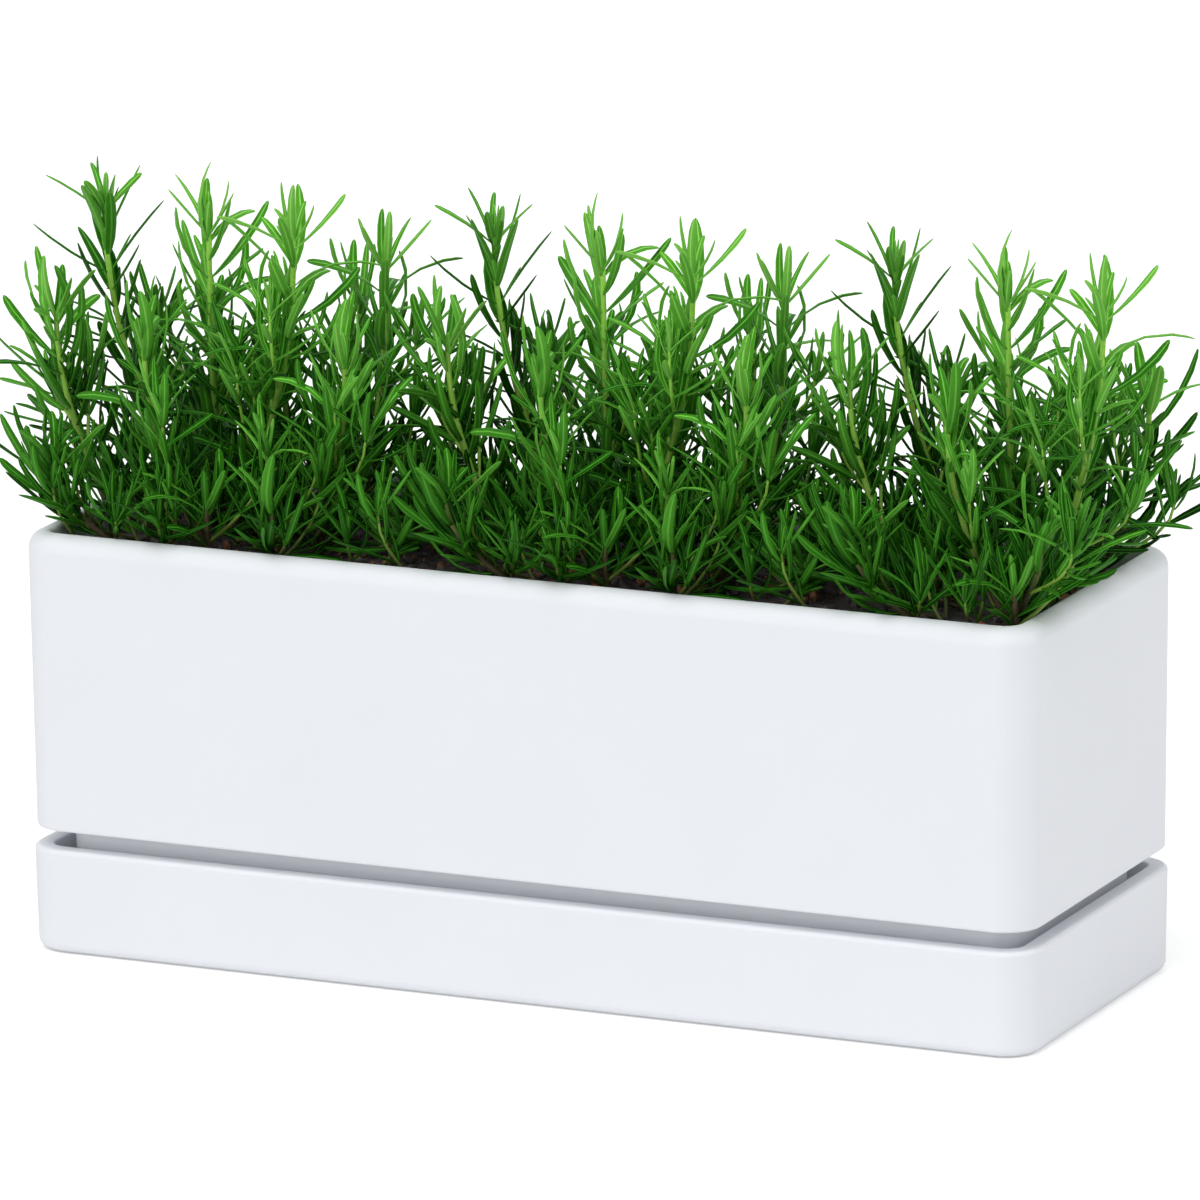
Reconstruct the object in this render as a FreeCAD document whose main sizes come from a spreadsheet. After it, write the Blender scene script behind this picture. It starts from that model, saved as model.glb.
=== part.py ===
import FreeCAD, Part
import math
import os
import random

import Sketcher
from FreeCAD import Placement, Rotation, Vector

# Indoor herb planter: a thick-walled pot whose narrower foot drops into a deep drip tray,
# filled with soil and planted with three rosemary plants.
# X runs along the planter, Y from front to back, Z up. The origin lies on the table, at the
# middle of the tray's underside. Lengths are in millimetres and angles in degrees.

SIZES = [
    # Outline that the pot and the tray share
    ("planter_length", 406.0),
    ("planter_depth", 147.5),
    ("planter_height", 160.0),
    ("corner_radius", 14.5),
    # Tray
    ("tray_height", 40.0),
    ("tray_inset", 0.3),
    ("tray_wall", 7.4),
    ("tray_floor", 4.0),
    ("tray_draft", 1.0),
    ("tray_base_round", 4.0),
    ("tray_lip_outer_bevel", 1.4),
    ("tray_lip_inner_bevel", 0.8),
    ("seat_bar_count", 6),
    ("seat_bar_height", 3.0),
    ("seat_bar_width", 8.0),
    ("seat_bar_end_room", 9.0),
    # Pot
    ("gap_height", 7.0),
    ("pot_wall", 8.6),
    ("pot_draft", 0.53),
    ("rim_outer_round", 6.4),
    ("rim_inner_bevel", 1.5),
    ("pot_edge_bevel", 0.9),
    ("ledge_thickness", 6.0),
    ("foot_inset", 12.7),
    ("foot_corner_radius", 10.0),
    ("foot_wall", 4.5),
    ("foot_floor", 4.5),
    ("foot_draft", 1.0),
    ("foot_edge_bevel", 2.0),
    ("drain_rose_count", 5),
    ("drain_rose_diameter", 26.0),
    ("drain_rose_depth", 1.5),
    ("drain_hole_diameter", 3.8),
    ("drain_ring_diameter", 15.0),
    ("drain_ring_count", 3),
    # Soil
    ("soil_drop", 11.0),
    ("soil_crown", 4.0),
    ("soil_slope_run", 15.0),
    ("soil_clearance", 0.2),
    # Rosemary
    ("plant_spacing_share", 0.398),
    ("plant_offset_share", 0.0148),
    ("stem_height", 117.0),
    ("stem_width", 3.4),
    ("stem_tip_width", 1.5),
    ("stem_collar", 1.5),
    ("stem_angle", 37),
    ("plant_angle", 11),
    ("root_depth", 22.0),
    ("root_clearance", 0.15),
    ("whorl_spacing", 16.5),
    ("whorl_angle", 25),
    ("first_whorl_share", 0.8),
    ("leaf_base_height", 2.4),
    ("leaf_length", 29.0),
    ("leaf_width", 3.5),
    ("leaf_thickness", 0.9),
    ("leaf_bow", 2.2),
    ("leaf_middle_share", 0.45),
    ("leaf_low_angle", 62),
    ("leaf_top_angle", 28),
    ("leaf_scatter_angle", 7),
    ("leaf_short_share", 0.86),
    ("young_leaf_share", 0.55),
    ("young_top_share", 0.14),
    ("leaf_clearance", 0.5),
    # One overrun for every cut that runs out of a solid
    ("overrun", 1.0),
]
# Shares of a leaf's length, turns about its stem and tilts that are tried where leaves crowd
LEAF_TRIAL_SHARES = (1.0, 0.82, 0.66)
LEAF_TRIAL_TURNS = (0, 20, -20, 40, -40)
LEAF_TRIAL_TILTS = (0, -12, 12)
# A stem's line is straightened into this many parts where its room is measured
STEM_PARTS = 8
# Closer than this, two heights are the same
TOUCH = 1e-4

# Stems of one plant, as shares: foot along X and Y, tip along X and Y, height.
# X shares are of the plant spacing, Y shares of the bed's depth and heights of the stem height.
COMMON_STEM_SHARES = [
    (-0.170, 0.22, -0.385, 0.27, 1.00),
    (-0.030, 0.10, -0.056, 0.12, 1.00),
    (0.085, -0.10, 0.255, -0.12, 0.96),
    (-0.190, -0.15, -0.390, -0.04, 0.75),
    (0.060, -0.24, -0.080, -0.25, 0.71),
    (-0.100, 0.34, -0.150, 0.40, 0.64),
    (0.130, -0.38, 0.135, -0.41, 0.16),
    (-0.120, -0.36, -0.260, -0.40, 0.26),
]
# Stems that the two plants with a neighbour on their right have too
INNER_STEM_SHARES = [
    (0.310, 0.14, 0.385, 0.15, 0.94),
    (0.350, -0.24, 0.430, -0.25, 0.69),
    (0.190, 0.34, 0.220, 0.40, 0.68),
    (0.290, -0.39, 0.310, -0.43, 0.20),
    (0.200, 0.04, 0.165, 0.03, 0.58),
]
# Stems that stand at the pot's right end instead
END_STEM_SHARES = [
    (0.095, 0.31, 0.225, 0.31, 0.61),
    (0.080, -0.34, 0.190, -0.38, 0.30),
    (0.010, 0.38, 0.060, 0.43, 0.55),
]
PLANTS = [
    ("left", -1, COMMON_STEM_SHARES + INNER_STEM_SHARES),
    ("middle", 0, COMMON_STEM_SHARES + INNER_STEM_SHARES),
    ("right", 1, COMMON_STEM_SHARES + END_STEM_SHARES),
]

POT_BASE = "(Sizes.tray_height + Sizes.gap_height)"
FOOT_BASE = "(Sizes.tray_floor + Sizes.seat_bar_height)"
LEDGE_TOP = "(Sizes.tray_height + Sizes.gap_height + Sizes.ledge_thickness)"
FOOT_FLOOR_TOP = "(Sizes.tray_floor + Sizes.seat_bar_height + Sizes.foot_floor)"
SOIL_EDGE = "(Sizes.planter_height - Sizes.soil_drop)"


def make_sheet(doc):
    """The driving sizes, one row each: name and plain number."""
    sheet = doc.addObject("Spreadsheet::Sheet", "Sizes")
    for row, (alias, value) in enumerate(SIZES, start=1):
        sheet.set(f"A{row}", alias)
        sheet.set(f"B{row}", str(value))
        sheet.setAlias(f"B{row}", alias)
    doc.recompute()
    return sheet


def inset(share, *names):
    """Expression for an outline's size less twice each named inset."""
    return f"Sizes.{share}" + "".join(f" - 2 * Sizes.{name}" for name in names)


def new_body(doc, label):
    body = doc.addObject("PartDesign::Body", label)
    body.Label = label
    return body


def new_sketch(body, name, height):
    """Sketch parallel to the body's XY plane, at the height that the expression gives."""
    sketch = body.newObject("Sketcher::SketchObject", name)
    plane = next(f for f in body.Origin.OriginFeatures if f.Role == "XY_Plane")
    sketch.AttachmentSupport = [(plane, "")]
    sketch.MapMode = "FlatFace"
    sketch.setExpression("AttachmentOffset.Base.z", height)
    return sketch


def name_constraint(sketch, constraint, name, expression):
    index = sketch.addConstraint(constraint)
    sketch.renameConstraint(index, name)
    sketch.setExpression(f"Constraints.{name}", expression)


def rounded_rectangle(sketch, length, depth, radius):
    """Four sides joined by four tangent corner arcs, centred on the sketch's origin."""
    half_x, half_y, corner, turn = 3.0, 2.0, 1.0, math.pi / 2
    signs = [(1, -1), (1, 1), (-1, 1), (-1, -1)]
    centres = [Vector(i * (half_x - corner), j * (half_y - corner), 0) for i, j in signs]
    for side, centre in enumerate(centres):
        previous = centres[side - 1]
        out = Vector(math.cos((side - 1) * turn), math.sin((side - 1) * turn), 0) * corner
        sketch.addGeometry(Part.LineSegment(previous + out, centre + out), False)
        circle = Part.Circle(centre, Vector(0, 0, 1), corner)
        arc = Part.ArcOfCircle(circle, (side - 1) * turn, side * turn)
        sketch.addGeometry(arc, False)
    for side in range(4):
        line, arc, following = 2 * side, 2 * side + 1, (2 * side + 2) % 8
        sketch.addConstraint(Sketcher.Constraint("Tangent", line, 2, arc, 1))
        sketch.addConstraint(Sketcher.Constraint("Tangent", arc, 2, following, 1))
        sketch.addConstraint(Sketcher.Constraint("Vertical" if side % 2 else "Horizontal", line))
    for arc in (3, 5, 7):
        sketch.addConstraint(Sketcher.Constraint("Equal", 1, arc))
    sketch.addConstraint(Sketcher.Constraint("Symmetric", 0, 1, 4, 1, -1, 1))
    name_constraint(sketch, Sketcher.Constraint("Radius", 1, corner), "corner", radius)
    across = Sketcher.Constraint("DistanceX", 6, 1, 2, 1, 2 * half_x)
    name_constraint(sketch, across, "length", length)
    along = Sketcher.Constraint("DistanceY", 0, 1, 4, 1, 2 * half_y)
    name_constraint(sketch, along, "depth", depth)


def circle_at(sketch, name, radius, centre_x="0", centre_y="0"):
    """Circle whose radius and centre follow the expressions."""
    index = sketch.addGeometry(Part.Circle(Vector(0, 0, 0), Vector(0, 0, 1), 1.0), False)
    name_constraint(sketch, Sketcher.Constraint("Radius", index, 1.0), f"{name}_radius", radius)
    at_x = Sketcher.Constraint("DistanceX", -1, 1, index, 3, 0)
    name_constraint(sketch, at_x, f"{name}_x", centre_x)
    at_y = Sketcher.Constraint("DistanceY", -1, 1, index, 3, 0)
    name_constraint(sketch, at_y, f"{name}_y", centre_y)


def pad(body, name, sketch, length, downwards=False):
    feature = body.newObject("PartDesign::Pad", name)
    feature.Profile = sketch
    feature.Reversed = downwards
    feature.setExpression("Length", length)
    body.Document.recompute()
    return feature


def pocket(body, name, sketch, depth):
    """Cut straight down from the sketch."""
    before = body.Shape.Volume
    feature = body.newObject("PartDesign::Pocket", name)
    feature.Profile = sketch
    feature.setExpression("Length", depth)
    body.Document.recompute()
    if feature.Shape.Volume >= before:
        raise RuntimeError(f"{name} cuts nothing")
    return feature


def faces_between(shape, low, high, inside):
    """Upright faces within a span of heights, on the inside or the outside of the walls."""
    found = []
    for index, face in enumerate(shape.Faces, start=1):
        box = face.BoundBox
        middle = face.CenterOfMass
        u0, u1, v0, v1 = face.ParameterRange
        normal = face.normalAt((u0 + u1) / 2, (v0 + v1) / 2)
        upright = abs(normal.z) < abs(normal.x) + abs(normal.y)
        spans = box.ZMin > low - TOUCH and box.ZMax < high + TOUCH
        faces_out = normal.x * middle.x + normal.y * middle.y > 0
        if upright and spans and faces_out != inside:
            found.append(f"Face{index}")
    return found


def level_face(shape, height, up):
    """The largest level face at a height, looking up or down."""
    best = None
    for index, face in enumerate(shape.Faces, start=1):
        level = face.BoundBox.ZLength < TOUCH and abs(face.BoundBox.ZMin - height) < TOUCH
        if level and (face.normalAt(0, 0).z > 0) == up:
            if best is None or face.Area > best[0]:
                best = (face.Area, f"Face{index}")
    return best[1]


def draft(body, name, base, faces, neutral, angle, inside):
    """Lean upright faces so that the outline they follow narrows downwards."""
    before = base.Shape.Volume
    feature = body.newObject("PartDesign::Draft", name)
    feature.Base = (base, faces)
    feature.NeutralPlane = (base, [neutral])
    feature.Reversed = not inside
    feature.setExpression("Angle", angle)
    body.Document.recompute()
    if (feature.Shape.Volume > before) != inside:
        raise RuntimeError(f"{name} leans the wrong way")
    return feature


def fillet(body, name, base, edges, radius):
    feature = body.newObject("PartDesign::Fillet", name)
    feature.Base = (base, edges)
    feature.setExpression("Radius", radius)
    body.Document.recompute()
    return feature


def chamfer(body, name, base, edges, width):
    feature = body.newObject("PartDesign::Chamfer", name)
    feature.Base = (base, edges)
    feature.setExpression("Size", width)
    body.Document.recompute()
    return feature


def wall_edges(shape, height, inside):
    """Edges of the wall's own loop at a height: the outermost loop, or the first one in."""
    loops = {}
    for face in shape.Faces:
        if face.BoundBox.ZLength < TOUCH and abs(face.BoundBox.ZMin - height) < TOUCH:
            wires = sorted(face.Wires, key=lambda wire: wire.BoundBox.XLength, reverse=True)
            loops[face.BoundBox.XLength] = wires
    wires = loops[max(loops)]
    wanted = wires[1] if inside else wires[0]
    return [f"Edge{index}" for index, edge in enumerate(shape.Edges, start=1)
            if any(edge.isSame(other) for other in wanted.Edges)]


def build_tray(doc, size):
    """Deep tray with a drafted outside, a flat underside and bars that carry the pot."""
    body = new_body(doc, "drip_tray")
    outline = new_sketch(body, "TrayOutline", "0 * Sizes.tray_height")
    rounded_rectangle(outline, inset("planter_length", "tray_inset"),
                      inset("planter_depth", "tray_inset"), "Sizes.corner_radius - Sizes.tray_inset")
    block = pad(body, "TrayBlock", outline, "Sizes.tray_height")
    outside = faces_between(block.Shape, 0, size.tray_height, inside=False)
    top = level_face(block.Shape, size.tray_height, up=True)
    draft(body, "TraySides", block, outside, top, "Sizes.tray_draft", inside=False)

    well = new_sketch(body, "WellOutline", "Sizes.tray_height")
    rounded_rectangle(well, inset("planter_length", "tray_inset", "tray_wall"),
                      inset("planter_depth", "tray_inset", "tray_wall"),
                      "Sizes.corner_radius - Sizes.tray_inset - Sizes.tray_wall")
    hollow = pocket(body, "TrayWell", well, "Sizes.tray_height - Sizes.tray_floor")
    within = faces_between(hollow.Shape, size.tray_floor, size.tray_height, inside=True)
    top = level_face(hollow.Shape, size.tray_height, up=True)
    hollow = draft(body, "WellSides", hollow, within, top, "Sizes.tray_draft", inside=True)

    edges = wall_edges(hollow.Shape, 0, inside=False)
    step = fillet(body, "BaseRound", hollow, edges, "Sizes.tray_base_round")
    edges = wall_edges(step.Shape, size.tray_height, inside=False)
    step = chamfer(body, "LipOuterBevel", step, edges, "Sizes.tray_lip_outer_bevel")
    edges = wall_edges(step.Shape, size.tray_height, inside=True)
    chamfer(body, "LipInnerBevel", step, edges, "Sizes.tray_lip_inner_bevel")

    add_seat_bars(body)
    return body


def add_seat_bars(body):
    """Round-ended bars across the tray's floor, spread evenly along it by one pattern."""
    bar_length = f"({inset('planter_depth', 'foot_inset', 'seat_bar_end_room')})"
    pitch = f"(({inset('planter_length', 'foot_inset')}) / Sizes.seat_bar_count)"
    first = f"(-{pitch} * (Sizes.seat_bar_count - 1) / 2)"
    sketch = new_sketch(body, "SeatBar", "Sizes.tray_floor")
    half_y, half_x, turn = 2.0, 1.0, math.pi
    for end, side in ((1, 0), (-1, turn)):
        centre = Vector(0, end * half_y, 0)
        arc = Part.ArcOfCircle(Part.Circle(centre, Vector(0, 0, 1), half_x), side, side + turn)
        sketch.addGeometry(arc, False)
        start = Vector(-end * half_x, end * half_y, 0)
        sketch.addGeometry(Part.LineSegment(start, Vector(start.x, -start.y, 0)), False)
    for first_item, second_item in ((0, 1), (1, 2), (2, 3), (3, 0)):
        joint = Sketcher.Constraint("Tangent", first_item, 2, second_item, 1)
        sketch.addConstraint(joint)
    sketch.addConstraint(Sketcher.Constraint("Vertical", 1))
    sketch.addConstraint(Sketcher.Constraint("Equal", 0, 2))
    name_constraint(sketch, Sketcher.Constraint("Radius", 0, half_x), "bar_end",
                    "Sizes.seat_bar_width / 2")
    name_constraint(sketch, Sketcher.Constraint("DistanceY", 2, 3, 0, 3, 2 * half_y), "bar_run",
                    f"{bar_length} - Sizes.seat_bar_width")
    name_constraint(sketch, Sketcher.Constraint("DistanceX", -1, 1, 0, 3, 0), "bar_x", first)
    name_constraint(sketch, Sketcher.Constraint("DistanceY", -1, 1, 0, 3, half_y), "bar_y",
                    f"({bar_length} - Sizes.seat_bar_width) / 2")
    bar = pad(body, "SeatBarPad", sketch, "Sizes.seat_bar_height")
    repeat_along(body, "SeatBars", bar, sketch, pitch, "Sizes.seat_bar_count")


def repeat_along(body, name, feature, sketch, pitch, count):
    """Copies of a feature along X, a pitch apart."""
    before = body.Shape.Volume
    pattern = body.newObject("PartDesign::LinearPattern", name)
    pattern.Originals = [feature]
    pattern.Direction = (sketch, ["H_Axis"])
    pattern.setExpression("Length", f"{pitch} * ({count} - 1)")
    pattern.setExpression("Occurrences", count)
    body.Tip = pattern
    body.Document.recompute()
    if abs(pattern.Shape.Volume - before) < TOUCH:
        raise RuntimeError(f"{name} adds no copies")
    return pattern


def build_pot(doc, size):
    """Pot with a rolled rim, and a foot that steps in all round and reaches into the tray."""
    pot_base = size.tray_height + size.gap_height
    foot_base = size.tray_floor + size.seat_bar_height
    ledge_top = pot_base + size.ledge_thickness
    foot_floor_top = foot_base + size.foot_floor
    body = new_body(doc, "planter_pot")

    outline = new_sketch(body, "PotOutline", POT_BASE)
    rounded_rectangle(outline, "Sizes.planter_length", "Sizes.planter_depth", "Sizes.corner_radius")
    block = pad(body, "PotBlock", outline, f"Sizes.planter_height - {POT_BASE}")
    outside = faces_between(block.Shape, pot_base, size.planter_height, inside=False)
    top = level_face(block.Shape, size.planter_height, up=True)
    draft(body, "PotSides", block, outside, top, "Sizes.pot_draft", inside=False)

    foot = new_sketch(body, "FootOutline", POT_BASE)
    rounded_rectangle(foot, inset("planter_length", "foot_inset"),
                      inset("planter_depth", "foot_inset"), "Sizes.foot_corner_radius")
    step = pad(body, "FootBlock", foot, f"{POT_BASE} - {FOOT_BASE}", downwards=True)
    outside = faces_between(step.Shape, foot_base, pot_base, inside=False)
    underside = level_face(step.Shape, pot_base, up=False)
    draft(body, "FootSides", step, outside, underside, "Sizes.foot_draft", inside=False)

    cavity = new_sketch(body, "CavityOutline", "Sizes.planter_height")
    rounded_rectangle(cavity, inset("planter_length", "pot_wall"),
                      inset("planter_depth", "pot_wall"), "Sizes.corner_radius - Sizes.pot_wall")
    step = pocket(body, "Cavity", cavity, f"Sizes.planter_height - {LEDGE_TOP}")
    within = faces_between(step.Shape, ledge_top, size.planter_height, inside=True)
    top = level_face(step.Shape, size.planter_height, up=True)
    draft(body, "CavitySides", step, within, top, "Sizes.pot_draft", inside=True)

    well = new_sketch(body, "FootWellOutline", LEDGE_TOP)
    rounded_rectangle(well, inset("planter_length", "foot_inset", "foot_wall"),
                      inset("planter_depth", "foot_inset", "foot_wall"),
                      "Sizes.foot_corner_radius - Sizes.foot_wall")
    step = pocket(body, "FootWell", well, f"{LEDGE_TOP} - {FOOT_FLOOR_TOP}")
    within = faces_between(step.Shape, foot_floor_top, ledge_top, inside=True)
    ledge = level_face(step.Shape, ledge_top, up=True)
    step = draft(body, "FootWellSides", step, within, ledge, "Sizes.foot_draft", inside=True)

    edges = wall_edges(step.Shape, size.planter_height, inside=False)
    step = fillet(body, "RimOuterRound", step, edges, "Sizes.rim_outer_round")
    edges = wall_edges(step.Shape, size.planter_height, inside=True)
    step = chamfer(body, "RimInnerBevel", step, edges, "Sizes.rim_inner_bevel")
    edges = wall_edges(step.Shape, pot_base, inside=False)
    step = chamfer(body, "PotEdgeBevel", step, edges, "Sizes.pot_edge_bevel")
    edges = wall_edges(step.Shape, foot_base, inside=False)
    chamfer(body, "FootEdgeBevel", step, edges, "Sizes.foot_edge_bevel")

    add_drain_roses(body)
    return body


def add_drain_roses(body):
    """Round dished places in the foot's floor, each with a ring of small holes."""
    pitch = f"(({inset('planter_length', 'foot_inset')}) / Sizes.drain_rose_count)"
    first = f"(-{pitch} * (Sizes.drain_rose_count - 1) / 2)"
    dish = new_sketch(body, "RoseDish", FOOT_FLOOR_TOP)
    circle_at(dish, "dish", "Sizes.drain_rose_diameter / 2", first)
    dish_cut = pocket(body, "RoseDishCut", dish, "Sizes.drain_rose_depth")
    repeat_along(body, "RoseDishes", dish_cut, dish, pitch, "Sizes.drain_rose_count")

    holes = new_sketch(body, "RoseHoles", FOOT_FLOOR_TOP)
    hole_radius = "Sizes.drain_hole_diameter / 2"
    ring_count = round(body.Document.Sizes.drain_ring_count)
    for index in range(ring_count):
        angle = f"{index} * 360 / Sizes.drain_ring_count"
        centre_x = f"{first} + Sizes.drain_ring_diameter / 2 * cos({angle})"
        centre_y = f"Sizes.drain_ring_diameter / 2 * sin({angle})"
        circle_at(holes, f"ring_{index}", hole_radius, centre_x, centre_y)
    holes_cut = pocket(body, "RoseHoleCut", holes, "Sizes.foot_floor + Sizes.overrun")
    repeat_along(body, "RoseHoleRows", holes_cut, holes, pitch, "Sizes.drain_rose_count")


def build_soil(doc, size, stems):
    """Soil that fills the pot down to the foot's floor, crowned on top and pierced by the stems."""
    ledge_top = size.tray_height + size.gap_height + size.ledge_thickness
    foot_floor_top = size.tray_floor + size.seat_bar_height + size.foot_floor
    soil_edge = size.planter_height - size.soil_drop
    body = new_body(doc, "SoilFill")
    bed_corner = "Sizes.corner_radius - Sizes.pot_wall - Sizes.soil_clearance"
    bed = new_sketch(body, "BedOutline", LEDGE_TOP)
    rounded_rectangle(bed, inset("planter_length", "pot_wall", "soil_clearance"),
                      inset("planter_depth", "pot_wall", "soil_clearance"), bed_corner)
    block = pad(body, "BedBlock", bed, f"{SOIL_EDGE} - {LEDGE_TOP}")
    outside = faces_between(block.Shape, ledge_top, soil_edge, inside=False)
    top = level_face(block.Shape, soil_edge, up=True)
    draft(body, "BedSides", block, outside, top, "Sizes.pot_draft", inside=False)
    lower = new_sketch(body, "LowerOutline", LEDGE_TOP)
    rounded_rectangle(lower, inset("planter_length", "foot_inset", "foot_wall", "soil_clearance"),
                      inset("planter_depth", "foot_inset", "foot_wall", "soil_clearance"),
                      "Sizes.foot_corner_radius - Sizes.foot_wall - Sizes.soil_clearance")
    step = pad(body, "LowerBlock", lower, f"{LEDGE_TOP} - {FOOT_FLOOR_TOP}", downwards=True)
    outside = faces_between(step.Shape, foot_floor_top, ledge_top, inside=False)
    underside = level_face(step.Shape, ledge_top, up=False)
    draft(body, "LowerSides", step, outside, underside, "Sizes.foot_draft", inside=False)

    rim = new_sketch(body, "CrownFoot", SOIL_EDGE)
    rounded_rectangle(rim, inset("planter_length", "pot_wall", "soil_clearance"),
                      inset("planter_depth", "pot_wall", "soil_clearance"), bed_corner)
    crest = new_sketch(body, "CrownCrest", f"{SOIL_EDGE} + Sizes.soil_crown")
    rounded_rectangle(crest, inset("planter_length", "pot_wall", "soil_slope_run"),
                      inset("planter_depth", "pot_wall", "soil_slope_run"), bed_corner)
    crown = body.newObject("PartDesign::AdditiveLoft", "Crown")
    crown.Profile = rim
    crown.Sections = [crest]
    crown.Ruled = True
    doc.recompute()

    sockets = doc.addObject("Part::Feature", "RootSockets")
    sockets.Shape = Part.makeCompound([root_socket(stem, size) for stem in stems])
    soil = doc.addObject("Part::Cut", "potting_soil")
    soil.Label = "potting_soil"
    soil.Base = body
    soil.Tool = sockets
    doc.recompute()
    return soil


class Stem:
    """Line of one rosemary stem: it leans off its foot first and then rises straighter."""

    lean_power = 1.9
    short_share = 1 / 64

    def __init__(self, name, foot, tip, phase, seed):
        self.name = name
        self.foot = foot
        self.tip = tip
        self.phase = phase
        self.seed = seed

    def point(self, share):
        lean = 1 - (1 - share) ** self.lean_power
        reach = self.tip - self.foot
        return self.foot + Vector(reach.x * lean, reach.y * lean, reach.z * share)

    def direction(self, share):
        start = min(share, 1 - self.short_share)
        return (self.point(start + self.short_share) - self.point(start)).normalize()


def soil_height(size, x, y):
    """Height of the soil: it slopes up from the pot's walls to a level crown."""
    from_end = size.planter_length / 2 - size.pot_wall - abs(x)
    from_side = size.planter_depth / 2 - size.pot_wall - abs(y)
    rise = min(from_end / size.soil_slope_run, from_side / size.soil_slope_run, 1.0)
    return size.planter_height - size.soil_drop + size.soil_crown * rise


def plan_stems(size):
    """Feet and tips of all the stems, plant by plant."""
    bed_depth = size.planter_depth - 2 * size.pot_wall
    spacing = size.planter_length * size.plant_spacing_share
    stems = []
    for plant, (side, step, shares) in enumerate(PLANTS):
        middle = size.planter_length * size.plant_offset_share + step * spacing
        for index, (foot_x, foot_y, tip_x, tip_y, height) in enumerate(shares, start=1):
            x, y = middle + foot_x * spacing, foot_y * bed_depth
            foot = Vector(x, y, soil_height(size, x, y))
            tip = Vector(middle + tip_x * spacing, tip_y * bed_depth,
                         foot.z + height * size.stem_height)
            phase = math.radians(size.stem_angle * index + size.plant_angle * plant)
            name = f"rosemary_{side}_sprig_{index:02d}"
            stems.append(Stem(name, foot, tip, phase, 100 * plant + index))
    return stems


def square_ring(middle, direction, width, turn):
    """Four corners of a stem's square section, anticlockwise about its direction."""
    across = Vector(0, 1, 0).cross(direction).normalize()
    other = direction.cross(across)
    reach = width / math.sqrt(2)
    angles = [turn + math.pi / 4 + corner * math.pi / 2 for corner in range(4)]
    return [middle + across * (reach * math.cos(a)) + other * (reach * math.sin(a)) for a in angles]


def root_socket(stem, size):
    """Square hole in the soil, a clearance wider than the stem's buried end."""
    floor = stem.foot - Vector(0, 0, size.root_depth)
    width = size.stem_width + 2 * size.root_clearance
    corners = square_ring(floor, Vector(0, 0, 1), width, stem.phase)
    outline = Part.Face(Part.makePolygon(corners + corners[:1]))
    return outline.extrude(Vector(0, 0, size.root_depth + size.soil_crown + size.overrun))


def segment_distance(p1, q1, p2, q2):
    """Least distance of two segments, with the share along each where it is."""
    d1, d2, r = q1 - p1, q2 - p2, p1 - p2
    a, e, f = d1.dot(d1), d2.dot(d2), d2.dot(r)
    b, c = d1.dot(d2), d1.dot(r)
    spread = a * e - b * b
    s = min(max((b * f - c * e) / spread, 0.0), 1.0) if spread > 0 else 0.0
    t = min(max((b * s + f) / e, 0.0), 1.0)
    s = min(max((b * t - c) / a, 0.0), 1.0)
    return (p1 + d1 * s).distanceToPoint(p2 + d2 * t), s, t


class Foliage:
    """Every stem and leaf placed so far, as segments with a half width at each end."""

    def __init__(self, size):
        self.size = size
        self.cell = size.leaf_length
        self.cells = {}

    def key(self, point):
        return tuple(math.floor(value / self.cell) for value in point)

    def add(self, owner, start, end, width_start, width_end):
        piece = (owner, start, end, width_start, width_end)
        self.cells.setdefault(self.key((start + end) / 2), []).append(piece)

    def near(self, start, end):
        home = self.key((start + end) / 2)
        for i in (-1, 0, 1):
            for j in (-1, 0, 1):
                for k in (-1, 0, 1):
                    yield from self.cells.get((home[0] + i, home[1] + j, home[2] + k), ())

    def is_free(self, owner, start, end, width_start, width_end, whole):
        """True if the segment keeps its clearance; the first part off its own stem may not."""
        for other, p, q, width_p, width_q in self.near(start, end):
            if other == owner and not whole:
                continue
            gap, s, t = segment_distance(start, end, p, q)
            need = width_start + (width_end - width_start) * s + width_p + (width_q - width_p) * t
            if gap < need + self.size.leaf_clearance:
                return False
        return True


def over_rim_or_soil(point, size):
    """True if a leaf's point is above the soil inside the pot, or above the rim elsewhere."""
    margin = size.leaf_width
    inside_x = abs(point.x) < size.planter_length / 2 - size.pot_wall - margin
    inside_y = abs(point.y) < size.planter_depth / 2 - size.pot_wall - margin
    if inside_x and inside_y:
        ground = soil_height(size, point.x, point.y)
        return point.z > ground + size.leaf_thickness + size.leaf_clearance
    return point.z > size.planter_height + size.leaf_thickness + size.leaf_clearance


def leaf_shape(base, direction, out, lean, length, size):
    """Middle and tip of a leaf's spine, with its side and upper directions."""
    spine = direction * math.cos(lean) + out * math.sin(lean)
    side = direction.cross(spine).normalize()
    upper = spine.cross(side)
    bow = size.leaf_bow * length / size.leaf_length
    middle = base + spine * (length * size.leaf_middle_share) - upper * bow
    return middle, base + spine * length, side, upper


def place_leaf(foliage, stem, base, direction, out, lean, length, size):
    """First free way for a leaf near the wanted one, or None where none is free."""
    half = size.leaf_width / 2
    for share in LEAF_TRIAL_SHARES:
        for turn in LEAF_TRIAL_TURNS:
            for tilt in LEAF_TRIAL_TILTS:
                turned = Rotation(direction, turn).multVec(out)
                way = lean + math.radians(tilt)
                leaf = leaf_shape(base, direction, turned, way, length * share, size)
                middle, tip = leaf[0], leaf[1]
                off_stem = base + (middle - base) / 2
                beyond = middle + (tip - middle) / 3
                further = tip - (tip - middle) / 3
                spine = [off_stem, middle, beyond, further, tip]
                if not all(over_rim_or_soil(point, size) for point in spine):
                    continue
                free = (foliage.is_free(stem.name, base, middle, half, half, False)
                        and foliage.is_free(stem.name, off_stem, middle, half, half, True)
                        and foliage.is_free(stem.name, middle, tip, half, 0, True))
                if free:
                    foliage.add(stem.name, base, middle, half, half)
                    foliage.add(stem.name, middle, tip, half, 0)
                    return leaf
    return None


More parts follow.
